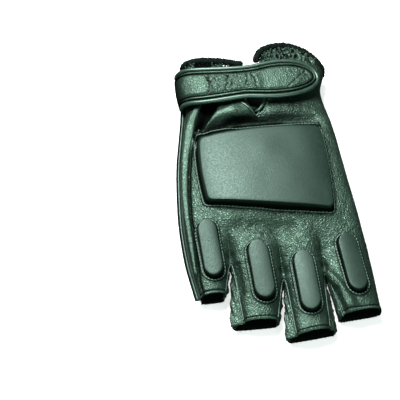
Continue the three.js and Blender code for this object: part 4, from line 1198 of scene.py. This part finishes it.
def fray(name, piece, allowed, count, length, seed):
    """Short fibres that stand on the points of a piece that are allowed."""
    points, normals = read_points(piece), read_normals(piece)
    chosen = np.flatnonzero(allowed(points, normals))
    dice = random.Random(seed)
    places, faces = [], []
    for _ in range(count):
        i = int(chosen[dice.randrange(len(chosen))])
        lean = unit(normals[i] + [dice.uniform(-0.8, 0.8) for _ in range(3)])
        tip = points[i] + lean * length * dice.uniform(0.4, 1.0)
        side = unit(np.cross(lean, (0.3, 0.5, 0.8))) * FIBRE_RADIUS
        other = np.cross(lean, side)
        start, base = len(places), points[i] - normals[i] * 0.15
        places += [base + side, base - side * 0.5 + other * 0.87, base - side * 0.5 - other * 0.87, tip]
        faces += [[start + k for k in f] for f in ((0, 2, 1), (0, 1, 3), (1, 2, 3), (2, 0, 3))]
    piece_from(name, places, faces, raw_edge)
    print(name, count, "fibres")


def cut_at_finger(points, normals):
    faces_fingers = (normals[:, 1] < -0.6) & (points[:, 2] < STUB_MIDDLE_HEIGHT)
    return faces_fingers & [on_a_hem(place) for place in points]


fray("fray_cuff", cuff_edge, lambda points, normals: normals[:, 2] > -0.6, 2600, 1.1, 3)
fray("fray_fingers", palm, cut_at_finger, 1500, 0.8, 4)

# %% [markdown]
# ## The white paper
# The glove lies on white paper. A plane and a wide sphere that glow a little stand in for it.

# %% Table and backdrop
PAPER_SIZE, PAPER_HEIGHT, BACKDROP_RADIUS = 12, -0.0002, 5.8


def paper(name, roughness, glow, **more):
    """Makes the new object white paper that neither lights the glove nor mirrors in it."""
    sheet = bpy.context.object
    sheet.name = name
    sheet.data.materials.append(Finish("pale_" + name).set(
        Base_Color=tone(0.7, 0.7, 0.7), Roughness=roughness,
        Emission_Color=tone(1, 1, 1), Emission_Strength=glow, **more))
    sheet.visible_glossy = sheet.visible_diffuse = False
    return sheet


bpy.ops.mesh.primitive_plane_add(size=PAPER_SIZE, location=(0, 0, PAPER_HEIGHT))
paper("table", 0.9, 0.7, Specular_IOR_Level=0.1)
bpy.ops.mesh.primitive_uv_sphere_add(segments=48, ring_count=24, radius=BACKDROP_RADIUS, location=(0, 0, 0))
backdrop = paper("backdrop", 1.0, 1.0)
backdrop.visible_shadow = backdrop.visible_transmission = False

# %% [markdown]
# ## What is cloth here
# Each leather panel is a sheet, cut flat and sewn into a hollow shape. Its flat area is printed beside its
# finished area, so that a panel which had stretched by accident would be noticed.

PANELS = {
    back: (0.125, 0.188, 0.0186, "stretched"),
    palm: (0.104, 0.180, 0.0152, "stretched"),
    thumb: (0.088, 0.052, 0.0037, "stretched"),
    **{gusset: (0.015, 0.042, 0.0005, "stretched") for gusset in gussets.values()},
    strap: (0.092, 0.028, 0.0019, "laid"),
}
for panel, (width, length, area, held) in PANELS.items():
    skin = sum(face.area for face in panel.data.polygons) / 2
    print(panel.name, "is", round(skin * 1e4, 1), "square cm, cut from", round(area * 1e4, 1))
